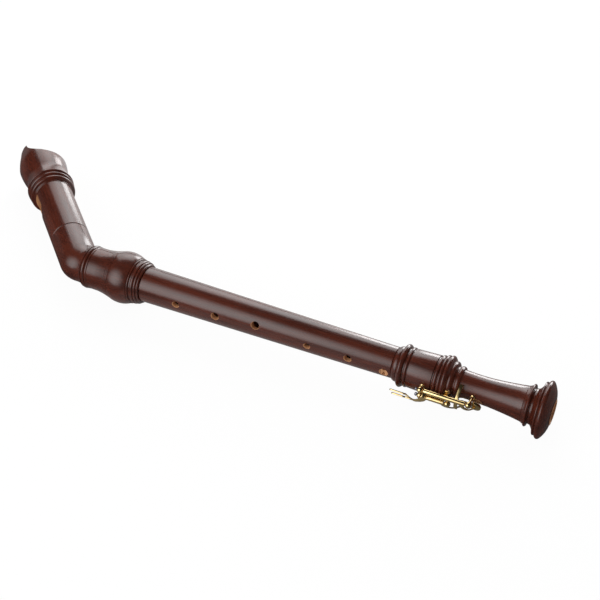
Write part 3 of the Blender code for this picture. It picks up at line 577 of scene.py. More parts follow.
def pad_skin(name, colours):
    """Fine leather with a soft pebbled grain."""
    material, recipe = new_material(name)
    place = recipe.along_piece()
    pebbles = recipe.noise(place, (0.35, 0.35, 0.35), 2.0)
    recipe.coat({
        "Base Color": recipe.clouded(recipe.noise(place, (4, 4, 4)), colours.leather, 0.8),
        "Roughness": 0.6 + pebbles * 0.2, "Normal": recipe.bump(0.4, 0.06, pebbles)})
    return material


def vectors(*points):
    """Points as vectors."""
    return [Vector(point) for point in points]


def curve_point(first, pull, last, u):
    """The point at u on a curve from first to last that leans towards pull."""
    return first * (1 - u) ** 2 + pull * 2 * u * (1 - u) + last * u ** 2


def outline_points(start, strokes):
    """Points of a turned outline, each stroke an arc that swells outwards by its third value."""
    points = [Vector(start)]
    for x_end, r_end, swell in strokes:
        first, last = points[-1], Vector((x_end, r_end))
        run, rise = last - first
        push = Vector((-rise, run)) * swell / math.hypot(run, rise)
        steps = 1 + round(ARC_STEPS * math.sqrt(abs(swell)))
        for step in range(1, steps + 1):
            u = step / steps
            points.append(first.lerp(last, u) + push * 4 * u * (1 - u))
    return points


def shifted(points, distance):
    """The same outline, moved along its axis."""
    return [point + Vector((distance, 0)) for point in points]


def scored(points, places, sizes):
    """The outline with a fine line cut into it at each place."""
    depth, half = sizes.score_depth / MM, sizes.score_width / MM / 2
    lined = [points[0]]
    for before, after in zip(points, points[1:]):
        for place in places:
            if before.x + half < place < after.x - half:
                slope = (after.y - before.y) / (after.x - before.x)
                level = before.y + slope * (place - before.x)
                for shift, fall in ((-half, 0), (0, depth), (half, 0)):
                    lined.append(Vector((place + shift, level + slope * shift - fall)))
        lined.append(after)
    return lined


def eased(points, sizes):
    """The outline with its sharp corners rounded over."""
    soft = [points[0]]
    for before, corner, after in zip(points, points[1:], points[2:]):
        back, ahead = before - corner, after - corner
        if back.angle(ahead) > math.radians(EASE_BELOW):
            soft.append(corner)
            continue
        reach = min(sizes.edge_ease / MM, back.length * 0.45, ahead.length * 0.45)
        first, last = corner + back.normalized() * reach, corner + ahead.normalized() * reach
        for step in range(EASE_STEPS + 1):
            soft.append(curve_point(first, corner, last, step / EASE_STEPS))
    soft.append(points[-1])
    return soft


def pick(item):
    """Select one object alone and make it active."""
    bpy.ops.object.select_all(action="DESELECT")
    item.select_set(True)
    bpy.context.view_layer.objects.active = item


def start_line(name, points):
    """A closed line of edges through points, extruded one by one from a single vertex."""
    bpy.ops.object.select_all(action="DESELECT")
    bpy.ops.mesh.primitive_plane_add(size=1.0, location=(0, 0, 0))
    item = bpy.context.object
    item.name = item.data.name = name
    bpy.ops.object.mode_set(mode="EDIT")
    bpy.ops.mesh.select_all(action="SELECT")
    bpy.ops.mesh.merge(type="CENTER")
    bpy.ops.transform.translate(value=points[0])
    for before, after in zip(points, points[1:]):
        bpy.ops.mesh.extrude_region_move(TRANSFORM_OT_translate={"value": after - before})
    bpy.ops.mesh.select_all(action="SELECT")
    bpy.ops.mesh.remove_doubles(threshold=MERGE)
    return item


def close_up():
    """Merge the seams, point the faces outwards and leave edit mode."""
    bpy.ops.mesh.select_all(action="SELECT")
    bpy.ops.mesh.remove_doubles(threshold=MERGE)
    bpy.ops.mesh.normals_make_consistent(inside=False)
    bpy.ops.object.mode_set(mode="OBJECT")


def turned(name, outline, steps, closed=True):
    """A solid of revolution round the X axis, from (length, radius) points."""
    points = [Vector((x, 0, r)) for x, r in outline]
    if closed:
        points.append(points[0])
    item = start_line(name, points)
    bpy.ops.mesh.spin(steps=steps, angle=math.tau, center=(0, 0, 0), axis=(1, 0, 0))
    close_up()
    return item


def rod(name, low, high, radius, steps):
    """A plain round rod along the X axis."""
    return turned(name, ((low, 0), (low, radius), (high, radius), (high, 0)), steps, False)


def prism(name, outline, low, high):
    """A flat outline in X and Y, filled and extruded along Z from low to high."""
    points = [Vector((x, y, low)) for x, y in outline]
    item = start_line(name, points + points[:1])
    bpy.ops.mesh.edge_face_add()
    bpy.ops.mesh.extrude_region_move(TRANSFORM_OT_translate={"value": (0, 0, high - low)})
    close_up()
    return item


def skinned(name, rings, closed):
    """A grid wrapped round rings of points, closed on itself or filled at both ends."""
    rows, columns = len(rings) - 1 + closed, len(rings[0])
    bpy.ops.object.select_all(action="DESELECT")
    bpy.ops.mesh.primitive_grid_add(x_subdivisions=rows, y_subdivisions=columns, size=1.0)
    item = bpy.context.object
    item.name = item.data.name = name
    for vertex in item.data.vertices:
        row = round((vertex.co.x + 0.5) * rows) % len(rings)
        column = round((vertex.co.y + 0.5) * columns) % columns
        vertex.co = rings[row][column]
    bpy.ops.object.mode_set(mode="EDIT")
    bpy.ops.mesh.select_all(action="SELECT")
    bpy.ops.mesh.remove_doubles(threshold=MERGE)
    if not closed:
        bpy.ops.mesh.fill_holes(sides=0)
    close_up()
    return item


def moved(item, place):
    """The object with a move taken up into its mesh."""
    pick(item)
    item.matrix_world = place
    bpy.ops.object.transform_apply(location=True, rotation=True, scale=True)
    return item


def painted(item, materials, is_bare=None):
    """Give a piece its finishes, the second one where its wood is cut bare."""
    for material in materials:
        item.data.materials.append(material)
    for face in item.data.polygons:
        face.material_index = int(is_bare is not None and is_bare(face.center))
    return item


def everywhere(centre):
    """Every face of a cutter leaves bare wood behind."""
    return True


def joined(name, items):
    """Several shapes as one object."""
    pick(items[0])
    for item in items:
        item.select_set(True)
    bpy.ops.object.join()
    bpy.context.object.name = name
    return bpy.context.object


def combine(item, tool, operation="DIFFERENCE"):
    """Cut a tool out of a piece, or weld it on, and take the tool away."""
    step = item.modifiers.new(tool.name, "BOOLEAN")
    step.operation = operation
    step.solver = "EXACT"
    step.object = tool
    pick(item)
    bpy.ops.object.modifier_apply(modifier=step.name)
    bpy.data.objects.remove(tool, do_unlink=True)


def carve(item, tool, finishes):
    """Cut a tool out of a piece and leave bare wood behind."""
    combine(item, painted(tool, finishes, everywhere))


def bevelled(item, width, segments, angle):
    """Round the edges that are sharper than an angle."""
    step = item.modifiers.new("rounding", "BEVEL")
    step.width = width
    step.segments = segments
    step.limit_method = "ANGLE"
    step.angle_limit = math.radians(angle)
    step.harden_normals = False
    pick(item)
    bpy.ops.object.modifier_apply(modifier=step.name)
    return item


def settle(item, place, body, slot, *nodes):
    """Put a finished piece in its place, shade it and tie it to the frame."""
    moved(item, place @ Matrix.Scale(MM, 4))
    bpy.ops.object.shade_smooth_by_angle(angle=math.radians(SMOOTH_ANGLE))
    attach(item, body)
    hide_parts(*nodes)
    return item


def dress(node, material):
    """Give a frame's own node its finish."""
    item = frame["nodes"][node]
    item.data.materials.clear()
    item.data.materials.append(material)
    frame_slot(node)


def frame_slot(node):
    """The record's material slot of a node."""
    return next(part["material_slot"] for part in frame["record"]["subparts"]
                if part["node"] == node)


def corked_tenon(base, direction, length, radius, seat):
    """Outline of a tenon from its shoulder to its free end, with a seat for the cork."""
    return [Vector((base + direction * x, r)) for x, r in (
        (0, radius), (CORK_INSET, radius), (CORK_INSET, radius - seat),
        (length - CORK_INSET, radius - seat), (length - CORK_INSET, radius), (length, radius))]


def radial_place(x, angle):
    """A frame at x on the bore's axis whose Z points outwards at the angle."""
    return Matrix.Translation((x, 0, 0)) @ Matrix.Rotation(math.radians(90 - angle), 4, "X")


def standing(x, angle):
    """A frame at x on the bore's axis whose X points outwards at the angle."""
    return radial_place(x, angle) @ Matrix.Rotation(math.radians(-90), 4, "Y")


def polar(x, angle, height):
    """The point at a height from the bore's axis, in the instrument's own frame."""
    turn = math.radians(angle)
    return Vector((x, -height * math.cos(turn), height * math.sin(turn)))


def woods(name, colours, turn=0.0):
    """The stained wood of one joint and the bare wood of its cuts."""
    return (stained_wood(name + "_stain", colours, turn),
            bare_wood(name + "_bare", colours.bare, colours.bare_dark, turn))


def window_cutter():
    """A wedge that opens the window and planes the ramp down to its lip."""
    lip = block_start - WINDOW_LENGTH
    edge = HEAD_BORE + LABIUM_THICKNESS
    far = lip - RAMP_LENGTH - FAR
    slope = RAMP_RISE / RAMP_LENGTH
    return prism("window", (
        (lip, HEAD_BORE - WINDOW_SINK), (lip, edge), (far, edge + slope * (RAMP_LENGTH + FAR)),
        (far, HEAD_BORE + FAR), (block_start, HEAD_BORE + FAR),
        (block_start, HEAD_BORE - WINDOW_SINK)), -WINDOW_HALF_WIDTH, WINDOW_HALF_WIDTH)


def windway_cutter():
    """An arched slot over the block, from the window to the beak's end."""
    roof = HEAD_BORE - GAP + WINDWAY_HEIGHT
    inner = HEAD_BORE - 2 * WINDWAY_HEIGHT
    reach = math.radians(WINDWAY_HALF_ANGLE)
    sweep = [reach * (2 * step / WINDWAY_STEPS - 1) for step in range(WINDWAY_STEPS + 1)]
    arch = [(roof * math.cos(turn), roof * math.sin(turn)) for turn in sweep]
    arch += [(inner * math.cos(turn), inner * math.sin(turn)) for turn in (reach, 0, -reach)]
    slot = prism("windway", arch, block_start - WINDWAY_HEIGHT, head_end + FAR)
    return moved(slot, Matrix(((0, 0, 1, 0), (1, 0, 0, 0), (0, 1, 0, 0), (0, 0, 0, 1))))


def beak_cutter():
    """The waste that is sawn off the head's end in a curve to leave the beak."""
    start = Vector((head_end - TIP_LENGTH, TIP_SLICE))
    pull = Vector((head_end - BEAK_LENGTH - BEAK_PULL, TIP_SLICE - BEAK_PULL))
    end = Vector((head_end - BEAK_LENGTH, -BEAK_FLOOR))
    waste = [(head_end + FAR, TIP_SLICE)]
    for step in range(BEAK_STEPS + 1):
        waste.append(curve_point(start, pull, end, step / BEAK_STEPS))
    wide = BEAK_FLOOR + FAR
    waste += [(head_end - BEAK_LENGTH, -wide), (head_end + FAR, -wide)]
    return prism("beak", waste, -wide, wide)


class RECORDER_OT_head(bpy.types.Operator):
    """Turn the head and cut its window, windway and beak"""
    bl_idname = "recorder.head"
    bl_label = "Head"

    def execute(self, context):
        sizes, colours = context.scene.recorder_sizes, context.scene.recorder_colours
        outline = outline_points((0, UPPER_LEG_R - LIP_CHAMFER), HEAD_STROKES)
        outline = shifted(scored(outline, HEAD_SCORES, sizes), head_start)
        socket_end = upper_leg + socket_depth
        outline += vectors((head_end, HEAD_BORE), (socket_end, HEAD_BORE),
                           (socket_end, socket_r), (head_start, socket_r))
        head = turned("head_wood", eased(outline, sizes), sizes.wood_steps)
        finishes = woods("head", colours, math.pi - BEND)
        painted(head, finishes, lambda centre: centre.yz.length < socket_r + GAP)
        carve(head, window_cutter(), finishes)
        carve(head, windway_cutter(), finishes)
        combine(head, painted(beak_cutter(), finishes))
        settle(head, HEAD_PLACE, "head", "stained_wood", "head_joint")
        dress("block", bare_wood("cedar", colours.cedar, colours.bare_dark, math.pi - BEND))
        return {"FINISHED"}


def ring_points(centre, side, radius):
    """A ring of points round a centre, starting at the finger side."""
    points = []
    for step in range(NECK_STEPS):
        turn = math.tau * step / NECK_STEPS
        points.append(centre + side * radius * math.cos(turn)
                      + Vector((0, 0, 1)) * radius * math.sin(turn))
    return points


def bent_rings():
    """Rings round the outside of the bend, and the ring where the bores of both legs meet."""
    rows = [[] for row in range(BEND_ROWS)]
    mitre = []
    mean = (UPPER_LEG_R + LOWER_LEG_R) / 2
    for place in range(NECK_STEPS):
        angle = math.tau * place / NECK_STEPS
        out, rise = math.cos(angle), Vector((0, 0, math.sin(angle)))
        near = INNER_CORNER + (OUTER_CORNER - INNER_CORNER) * (1 + out) / 2
        first_at = near - UPPER_LEG_R * out * BEND_HALF
        last_at = near - LOWER_LEG_R * out * BEND_HALF
        first = elbow + up_leg * first_at + (up_side * out + rise) * UPPER_LEG_R
        last = elbow + down_leg * last_at + (down_side * out + rise) * LOWER_LEG_R
        on_mitre = (down_side - down_leg * BEND_HALF) * out + rise
        mitre.append(elbow + on_mitre * NECK_BORE)
        for row, ring in enumerate(rows):
            ring.append(curve_point(first, elbow + on_mitre * mean, last, row / (BEND_ROWS - 1)))
    return rows, mitre


class RECORDER_OT_neck(bpy.types.Operator):
    """Shape the bent neck, with a tenon at each end"""
    bl_idname = "recorder.neck"
    bl_label = "Neck"

    def execute(self, context):
        sizes, colours = context.scene.recorder_sizes, context.scene.recorder_colours
        upper = list(reversed(corked_tenon(upper_leg, 1, TENON_LENGTH, TENON_R, CORK_SEAT)))
        upper += vectors((upper_leg, UPPER_LEG_R - LIP_CHAMFER),
                         (upper_leg - LIP_CHAMFER, UPPER_LEG_R),
                         (upper_leg - UPPER_STRAIGHT / 2, UPPER_LEG_R))
        rings = [ring_points(elbow + up_leg * t, up_side, r) for t, r in eased(upper, sizes)]
        rows, mitre = bent_rings()
        rings += rows

        glued_end = shoulder_x + GLUED_TENON_LENGTH
        flare = outline_points((-FLARE_LENGTH, LOWER_LEG_R + FLARE_ROOT), FLARE_STROKES)
        lower = shifted(scored(flare, (FLARE_SCORE - FLARE_LENGTH,), sizes), shoulder_x)
        lower += vectors((shoulder_x, TENON_R), (glued_end, TENON_R), (glued_end, NECK_BORE))
        rings += [ring_points(Vector((x, 0, 0)), down_side, r) for x, r in eased(lower, sizes)]
        rings.append(mitre)
        rings.append(ring_points(elbow + up_leg * (upper_leg + TENON_LENGTH), up_side, NECK_BORE))
        neck = skinned("neck_wood", rings, True)
        tenon_face = elbow + up_leg * upper_leg

        def is_bare(centre):
            return (centre - tenon_face).dot(up_leg) > 0 or centre.x > shoulder_x

        painted(neck, woods("neck", colours, math.pi - BEND / 2), is_bare)
        settle(neck, INSTRUMENT, "neck", "stained_wood", "neck_elbow")
        return {"FINISHED"}


class RECORDER_OT_barrel(bpy.types.Operator):
    """Turn the barrel with its bulb and socket"""
    bl_idname = "recorder.barrel"
    bl_label = "Barrel"

    def execute(self, context):
        sizes, colours = context.scene.recorder_sizes, context.scene.recorder_colours
        outline = scored(outline_points((0, BARREL_R), BARREL_STROKES), BARREL_SCORES, sizes)
        outline = shifted(outline, -BARREL_LENGTH)
        web_start = shoulder_x + GLUED_TENON_LENGTH + GAP
        web_end = -TENON_LENGTH - GAP
        outline += vectors(
            (0, socket_r), (web_end, socket_r), (web_end, NECK_BORE), (web_start, NECK_BORE),
            (web_start, TENON_R + GAP), (-BARREL_LENGTH, TENON_R + GAP))
        barrel = turned("barrel_wood", eased(outline, sizes), sizes.wood_steps)
        painted(barrel, woods("barrel", colours), lambda centre: centre.yz.length < socket_r)
        settle(barrel, INSTRUMENT, "neck", "stained_wood", "barrel")
        return {"FINISHED"}


def middle_radius(x):
    """Outside radius of the middle joint's straight taper."""
    return MIDDLE_TOP_R + (MIDDLE_END_R - MIDDLE_TOP_R) * (x - GAP) / MIDDLE_LENGTH


def hole_cutter(x, angle, radius):
    """A straight hole from inside the bore out through the wall."""
    pin = rod("hole", MIDDLE_BORE_END / 2, MIDDLE_TOP_R + FAR, radius, METAL_STEPS)
    return moved(pin, standing(x, angle))


def rim_cutter(x, angle, radius, bevel):
    """A flared cutter that eases the rim of a finger hole."""
    level = middle_radius(x)
    flare = [(level - bevel - radius, 0)]
    for step in range(RIM_STEPS + 1):
        u = 3 * step / RIM_STEPS
        widening = bevel * u ** RIM_CURVE / 2 ** (RIM_CURVE - 1)
        flare.append((level + bevel * (u - 1), radius + widening))
    flare.append((level + 2 * bevel, 0))
    return moved(turned("rim", flare, METAL_STEPS, False), standing(x, angle))


def recess_cutter():
    """An oval dish for the double hole.

    A ball whose centre stands three fifths of its height above the wood is four fifths as wide
    where it meets the wood, and goes two fifths of its height deep.
    """
    level = middle_radius(DOUBLE_HOLE_X)
    deep = RECESS_DEPTH * 5 / 2
    bpy.ops.object.select_all(action="DESELECT")
    bpy.ops.mesh.primitive_uv_sphere_add(segments=64, ring_count=32, radius=1.0)
    dish = bpy.context.object
    stretch = Matrix.Diagonal((RECESS_HALF_LENGTH * 5 / 4, RECESS_HALF_WIDTH * 5 / 4, deep, 1))
    lift = Matrix.Translation((0, 0, level + deep * 3 / 5))
    return moved(dish, radial_place(DOUBLE_HOLE_X, DOUBLE_HOLE_ANGLE) @ lift @ stretch)


class RECORDER_OT_middle(bpy.types.Operator):
    """Turn the middle joint and bore its finger holes"""
    bl_idname = "recorder.middle"
    bl_label = "Middle joint"

    def execute(self, context):
        sizes, colours = context.scene.recorder_sizes, context.scene.recorder_colours
        outline = list(reversed(corked_tenon(GAP, -1, TENON_LENGTH, TENON_R, CORK_SEAT)))
        outline += vectors(
            (GAP, MIDDLE_TOP_R - LIP_CHAMFER), (GAP + LIP_CHAMFER, MIDDLE_TOP_R),
            (middle_end - LIP_CHAMFER, MIDDLE_END_R), (middle_end, MIDDLE_END_R - LIP_CHAMFER))
        outline += corked_tenon(middle_end, 1, END_TENON_LENGTH, END_TENON_R, END_CORK_SEAT)
        outline += vectors((middle_end + END_TENON_LENGTH, MIDDLE_BORE_END),
                           (GAP - TENON_LENGTH, MIDDLE_BORE_TOP))
        middle = turned("middle_wood", eased(outline, sizes), sizes.wood_steps)
        finishes = woods("middle", colours)

        def is_bare(centre):
            inside = centre.yz.length < MIDDLE_BORE_TOP + GAP
            return inside or not GAP < centre.x < middle_end

        painted(middle, finishes, is_bare)
        holes = (*FINGER_HOLES, THUMB_HOLE)
        rims = [rim_cutter(*hole, sizes.hole_bevel / MM) for hole in holes] + [recess_cutter()]
        carve(middle, joined("rims", rims), finishes)
        pins = [hole_cutter(*hole) for hole in holes]
        for side in (-1, 1):
            pins.append(hole_cutter(DOUBLE_HOLE_X, DOUBLE_HOLE_ANGLE + side * DOUBLE_HOLE_SPREAD,
                                    DOUBLE_HOLE_R))
        carve(middle, joined("pins", pins), finishes)
        settle(middle, INSTRUMENT, "middle", "stained_wood", "middle_joint")
        return {"FINISHED"}


def foot_profile():
    """The foot's outside, in its own length from its lip to the bell's end."""
    return outline_points((0, FOOT_LIP_R), FOOT_STROKES)


def post_foot_level(x):
    """Height of the wood under a post's base."""
    found = []
    points = foot_profile()
    for before, after in zip(points, points[1:]):
        for place in (x - POST_BASE_R, x, x + POST_BASE_R):
            if before.x <= place <= after.x and after.x > before.x:
                share = (place - before.x) / (after.x - before.x)
                found.append(before.y + (after.y - before.y) * share)
        if x - POST_BASE_R <= before.x <= x + POST_BASE_R:
            found.append(before.y)
    return max(found)


def rear_post_x(name):
    """Place of a key's rear post along the foot."""
    return cup_places[name] - KEYS[name]["post_before_cup"]


def post_places():
    """Name, place along the foot and angle of the four posts."""
    places = []
    for name, key in KEYS.items():
        places.append((name + "_post_front", FRONT_POST_X, key["angle"]))
        places.append((name + "_post_rear", rear_post_x(name), key["angle"]))
    return places


class RECORDER_OT_foot(bpy.types.Operator):
    """Turn the foot with its bell and cut the keyed holes"""
    bl_idname = "recorder.foot"
    bl_label = "Foot"

    def execute(self, context):
        sizes, colours = context.scene.recorder_sizes, context.scene.recorder_colours
        outline = scored(foot_profile(), FOOT_SCORES, sizes)
        outline += vectors((FOOT_LENGTH, FOOT_BORE), (END_TENON_LENGTH, FOOT_BORE),
                           (END_TENON_LENGTH, end_socket_r), (0, end_socket_r))
        foot = turned("foot_wood", eased(outline, sizes), sizes.wood_steps)
        finishes = woods("foot", colours)

        def is_bare(centre):
            at_bell = centre.x > FOOT_LENGTH - GAP and centre.yz.length < BELL_FACE_R
            return at_bell or centre.yz.length < FOOT_BORE + GAP or (
                centre.x < END_TENON_LENGTH + GAP and centre.yz.length < end_socket_r + GAP)

        painted(foot, finishes, is_bare)
        seat = cup_outer + SEAT_MARGIN
        for name, key in KEYS.items():
            hole = turned("seat", (
                (FOOT_BORE / 2, 0), (FOOT_BORE / 2, TONE_HOLE_R), (SEAT_HEIGHT, TONE_HOLE_R),
                (SEAT_HEIGHT, seat), (SEAT_HEIGHT + FAR, seat), (SEAT_HEIGHT + FAR, 0)),
                METAL_STEPS, False)
            place = standing(cup_places[name], key["cup_angle"])
            carve(foot, moved(hole, place), finishes)
        sockets = []
        for name, x, angle in post_places():
            level = post_foot_level(x)
            socket = rod("socket", level - SHANK_DEPTH - GAP, level + FAR, SHANK_R + GAP,
                         SOCKET_STEPS)
            sockets.append(moved(socket, standing(x, angle)))
        carve(foot, joined("sockets", sockets), finishes)
        settle(foot, FOOT_PLACE, "foot", "stained_wood", "foot_joint")
        return {"FINISHED"}


class RECORDER_OT_corks(bpy.types.Operator):
    """Finish the tenons' corks and the keys' bumpers"""
    bl_idname = "recorder.corks"
    bl_label = "Corks"

    def execute(self, context):
        cork = sheet_cork("cork", context.scene.recorder_colours)
        for node in ("neck_cork", "middle_upper_cork", "middle_lower_cork"):
            dress(node, cork)
        for name in KEYS:
            dress(name + "_bumper", cork)
        return {"FINISHED"}


class RECORDER_OT_posts(bpy.types.Operator):
    """Turn the ball posts and finish their pivot rods and springs"""
    bl_idname = "recorder.posts"
    bl_label = "Posts and rods"

    def execute(self, context):
        sizes, colours = context.scene.recorder_sizes, context.scene.recorder_colours
        gold = gilt_metal("gilt_posts", colours)
        steel = blued_steel("steel", colours)
        ball = sizes.ball_radius / MM
        for name, x, angle in post_places():
            level = post_foot_level(x)
            base = level + GAP
            neck = math.asin(POST_STEM_R / ball)
            outline = vectors(
                (level - SHANK_DEPTH, 0), (level - SHANK_DEPTH, SHANK_R), (base, SHANK_R),
                (base, POST_BASE_R), (base + POST_BASE_HEIGHT / 2, POST_BASE_R),
                (base + POST_BASE_HEIGHT, POST_STEM_R))
            for step in range(BALL_STEPS + 1):
                turn = neck + (math.pi - neck) * step / BALL_STEPS
                outline.append(Vector((HINGE_HEIGHT - ball * math.cos(turn),
                                       max(ball * math.sin(turn), 0.0))))
            post = turned(name + "_metal", eased(outline, sizes), METAL_STEPS, False)
            painted(moved(post, standing(x, angle)), (gold,))
            pins = [(HINGE_HEIGHT, tube_bore, PIN_STEPS)]
            if name.endswith("front"):
                pins.append((SPRING_HEIGHT, SPRING_R + GAP, SPRING_HOLE_STEPS))
            for height, radius, steps in pins:
                pin = rod("pin", -FAR, FAR, radius, steps)
                moved(pin, Matrix.Translation(polar(x, angle, height)))
                combine(post, painted(pin, (gold,)))
            settle(post, FOOT_PLACE, "foot", "gilt_metal", name)
        for name in KEYS:
            dress(name + "_pivot_rod", steel)
            dress(name + "_spring", steel)
        return {"FINISHED"}


def smooth_path(points):
    """Points on a smooth curve through given ones."""
    ends = [2 * Vector(points[0]) - Vector(points[1]), *map(Vector, points),
            2 * Vector(points[-1]) - Vector(points[-2])]
    path = []
    for a, b, c, d in zip(ends, ends[1:], ends[2:], ends[3:]):
        for step in range(STRAP_SPAN_STEPS):
            u = step / STRAP_SPAN_STEPS
            path.append(0.5 * (2 * b + (c - a) * u + (2 * a - 5 * b + 4 * c - d) * u ** 2
                               + (3 * b - a - 3 * c + d) * u ** 3))
    return path + [Vector(points[-1])]


def strap(name, points, width, thickness):
    """A flat bar with round edges that follows points given by length, angle and height."""
    centres = [polar(*point) for point in smooth_path(points)]
    rings = []
    for index, centre in enumerate(centres):
        before = centres[max(index - 1, 0)]
        after = centres[min(index + 1, len(centres) - 1)]
        tangent = (after - before).normalized()
        outward = Vector((0, centre.y, centre.z)).normalized()
        side = tangent.cross(outward).normalized()
        lift = side.cross(tangent).normalized()
        ring = []
        for step in range(STRAP_SIDES):
            turn = math.tau * (step + 0.5) / STRAP_SIDES
            out, rise = math.cos(turn), math.sin(turn)
            across = math.copysign(abs(out) ** STRAP_EDGE_CURVE, out) / 2
            high = math.copysign(abs(rise) ** STRAP_FACE_CURVE, rise) / 2
            ring.append(centre + side * width * across + lift * thickness * high)
        rings.append(ring)
    return skinned(name, rings, False)


def along_from(points, start):
    """Points whose length is counted from a start, as lengths from the foot's upper end."""
    return [(start + x, angle, height) for x, angle, height in points]


def as_length_angle_height(point):
    """A point in the foot's own frame as a length, an angle and a height."""
    return point.x, math.degrees(math.atan2(point.z, -point.y)), math.hypot(point.y, point.z)


def touch_plate(place, length, sizes):
    """A finger plate with round corners and eased edges, centred on its place."""
    half_length = length / 2 - TOUCH_CORNER
    half_width = sizes.touch_width / MM / 2 - TOUCH_CORNER
    outline = []
    for quarter, (along, across) in enumerate(((1, 1), (-1, 1), (-1, -1), (1, -1))):
        for step in range(CORNER_STEPS + 1):
            turn = math.radians(90 * (quarter + step / CORNER_STEPS))
            outline.append((along * half_length + TOUCH_CORNER * math.cos(turn),
                            across * half_width + TOUCH_CORNER * math.sin(turn)))
    thickness = sizes.touch_thickness / MM
    plate = prism("touch", outline, -thickness / 2, thickness / 2)
    bevelled(plate, sizes.touch_rounding / MM, 3, 60)
    level = Matrix.Rotation(math.radians(90 - TOUCH_TILT), 4, "X")
    return moved(plate, Matrix.Translation(place) @ level)


def opened(hinge):
    """The turn that lifts a key from its closed place to where its spring holds it."""
    swing = Matrix.Rotation(math.radians(-KEY_OPEN), 4, "X")
    return Matrix.Translation(hinge) @ swing @ Matrix.Translation(-hinge)


def key_cup(seated, sizes):
    """The cup that holds a pad, with a softly domed back."""
    cup_rim = pad_face + PAD_REACH
    outline = vectors(
        (pad_back + GAP, 0), (pad_back + GAP, cup_inner), (cup_rim, cup_inner),
        (cup_rim, cup_outer), (cup_back - CUP_BACK / 2, cup_outer),
        (cup_back, cup_outer - CUP_BACK), (cup_back + GAP, 0))
    return moved(turned("cup", eased(outline, sizes), METAL_STEPS, False), seated)


def spring_lug(angle, tube):
    """The small lug under a key's tube that its spring pushes on."""
    half = LUG_SIZE / 2
    top = HINGE_HEIGHT - tube / 2
    height = top - SPRING_HEIGHT + LUG_SIZE
    lug = prism("lug", ((-half, -half), (half, -half), (half, half), (-half, half)),
                -height / 2, height / 2)
    bevelled(lug, LUG_SIZE / 6, 2, 60)
    place = radial_place(FRONT_POST_X + SPRING_LENGTH - SPRING_TIP, angle)
    beside = half + LUG_CLEARANCE + SPRING_R
    return moved(lug, place @ Matrix.Translation((0, -beside, top - height / 2)))


def make_key(name, key, sizes, gold):
    """One key of the pair: tube, touch, arms, cup, heel and the lug for its spring."""
    angle = key["angle"]
    tube, ball = sizes.tube_radius / MM, sizes.ball_radius / MM
    width, thickness = sizes.arm_width / MM, sizes.arm_thickness / MM
    hinge = polar(0, angle, HINGE_HEIGHT)
    start = FRONT_POST_X + ball + GAP
    end = rear_post_x(name) - ball - GAP
    body = turned("key_" + name + "_metal", eased(vectors(
        (start, 0), (start, tube), (end, tube), (end, 0)), sizes), METAL_STEPS, False)
    moved(body, Matrix.Translation(hinge))

    cup_x, cup_angle = cup_places[name], key["cup_angle"]
    lift = opened(hinge)
    seated = lift @ standing(cup_x, cup_angle)
    path = along_from(key["cup_arm"], cup_x)
    ends = path[1:] + [(cup_x, cup_angle, cup_back + thickness / 3)]
    cup_arm = path[:1] + [as_length_angle_height(lift @ polar(*point)) for point in ends]
    before, touch_angle, touch_height, touch_length = key["touch"]
    touch_place = polar(FRONT_POST_X - before, touch_angle, touch_height)

    members = (
        key_cup(seated, sizes),
        strap("cup_arm", cup_arm, width, thickness),
        strap("touch_arm", along_from(key["touch_arm"], start), width, thickness),
        touch_plate(touch_place, touch_length, sizes),
        strap("heel", along_from(key["heel"], end), key["heel_width"], thickness),
        spring_lug(angle, tube),
    )
    for member in members:
        combine(body, member, "UNION")
    bore = rod("bore", start - GAP, end + GAP, tube_bore, PIN_STEPS)
    combine(body, moved(bore, Matrix.Translation(hinge)))
    painted(body, (gold,))
    settle(body, FOOT_PLACE, name + "_key", "gilt_metal", "key_" + name)


class RECORDER_OT_keys(bpy.types.Operator):
    """Make the two keys and finish their pads"""
    bl_idname = "recorder.keys"
    bl_label = "Double key"

    def execute(self, context):
        sizes, colours = context.scene.recorder_sizes, context.scene.recorder_colours
        gold = gilt_metal("gilt_keys", colours)
        leather = pad_skin("pad_skin", colours)
        for name, key in KEYS.items():
            make_key(name, key, sizes, gold)
            dress(name + "_pad", leather)
        return {"FINISHED"}


def floor_material(colours):
    """A pale floor with a faint shadow; in reflections it glows brighter northward and has painted shade beside
    the head and along the foot.
    """
    material, recipe = new_material("floor")
    camera, glossy, through = [recipe.node("ShaderNodeLightPath", output=name) for name in (
        "Is Camera Ray", "Is Glossy Ray", "Is Transmission Ray")]
    mirrored = glossy.larger(through)
    place = recipe.node("ShaderNodeTexCoord", output=3)
    east, north = recipe.axis(place, 0), recipe.axis(place, 1)
    bend, outward = HEAD_PLACE.translation, HEAD_PLACE.col[1].xyz.normalized()
    beside = (east - bend.x) * outward.x + (north - bend.y) * outward.y
    # Painted shade: the floor's reflection is darkened beside the head and along the foot
    painted_shade_factor = (recipe.between(beside, *PAINTED_SHADE_BESIDE_HEAD)
                 * recipe.between(east, *PAINTED_SHADE_ALONG_FOOT))
    # Painted light: the floor glows in reflections, brighter northward, dimmed where shade is painted
    level = recipe.between(north, *PAINTED_GLOW_NORTHWARD) * painted_shade_factor
    glow = recipe.node("ShaderNodeEmission", None, {
        "Color": full(colours.floor), "Strength": camera + mirrored * level})
    # In reflections the diffuse grey carries the same painted shade
    plain = recipe.node("ShaderNodeBsdfDiffuse", None, {
        "Color": camera * (1 - FLOOR_SHADE) + FLOOR_SHADE * (1 - mirrored * (1 - painted_shade_factor))})
    recipe.finish(recipe.node("ShaderNodeMixShader", None, {
        0: camera * CAMERA_GLOW + mirrored * MIRROR_GLOW, 1: plain, 2: glow}))
    return material


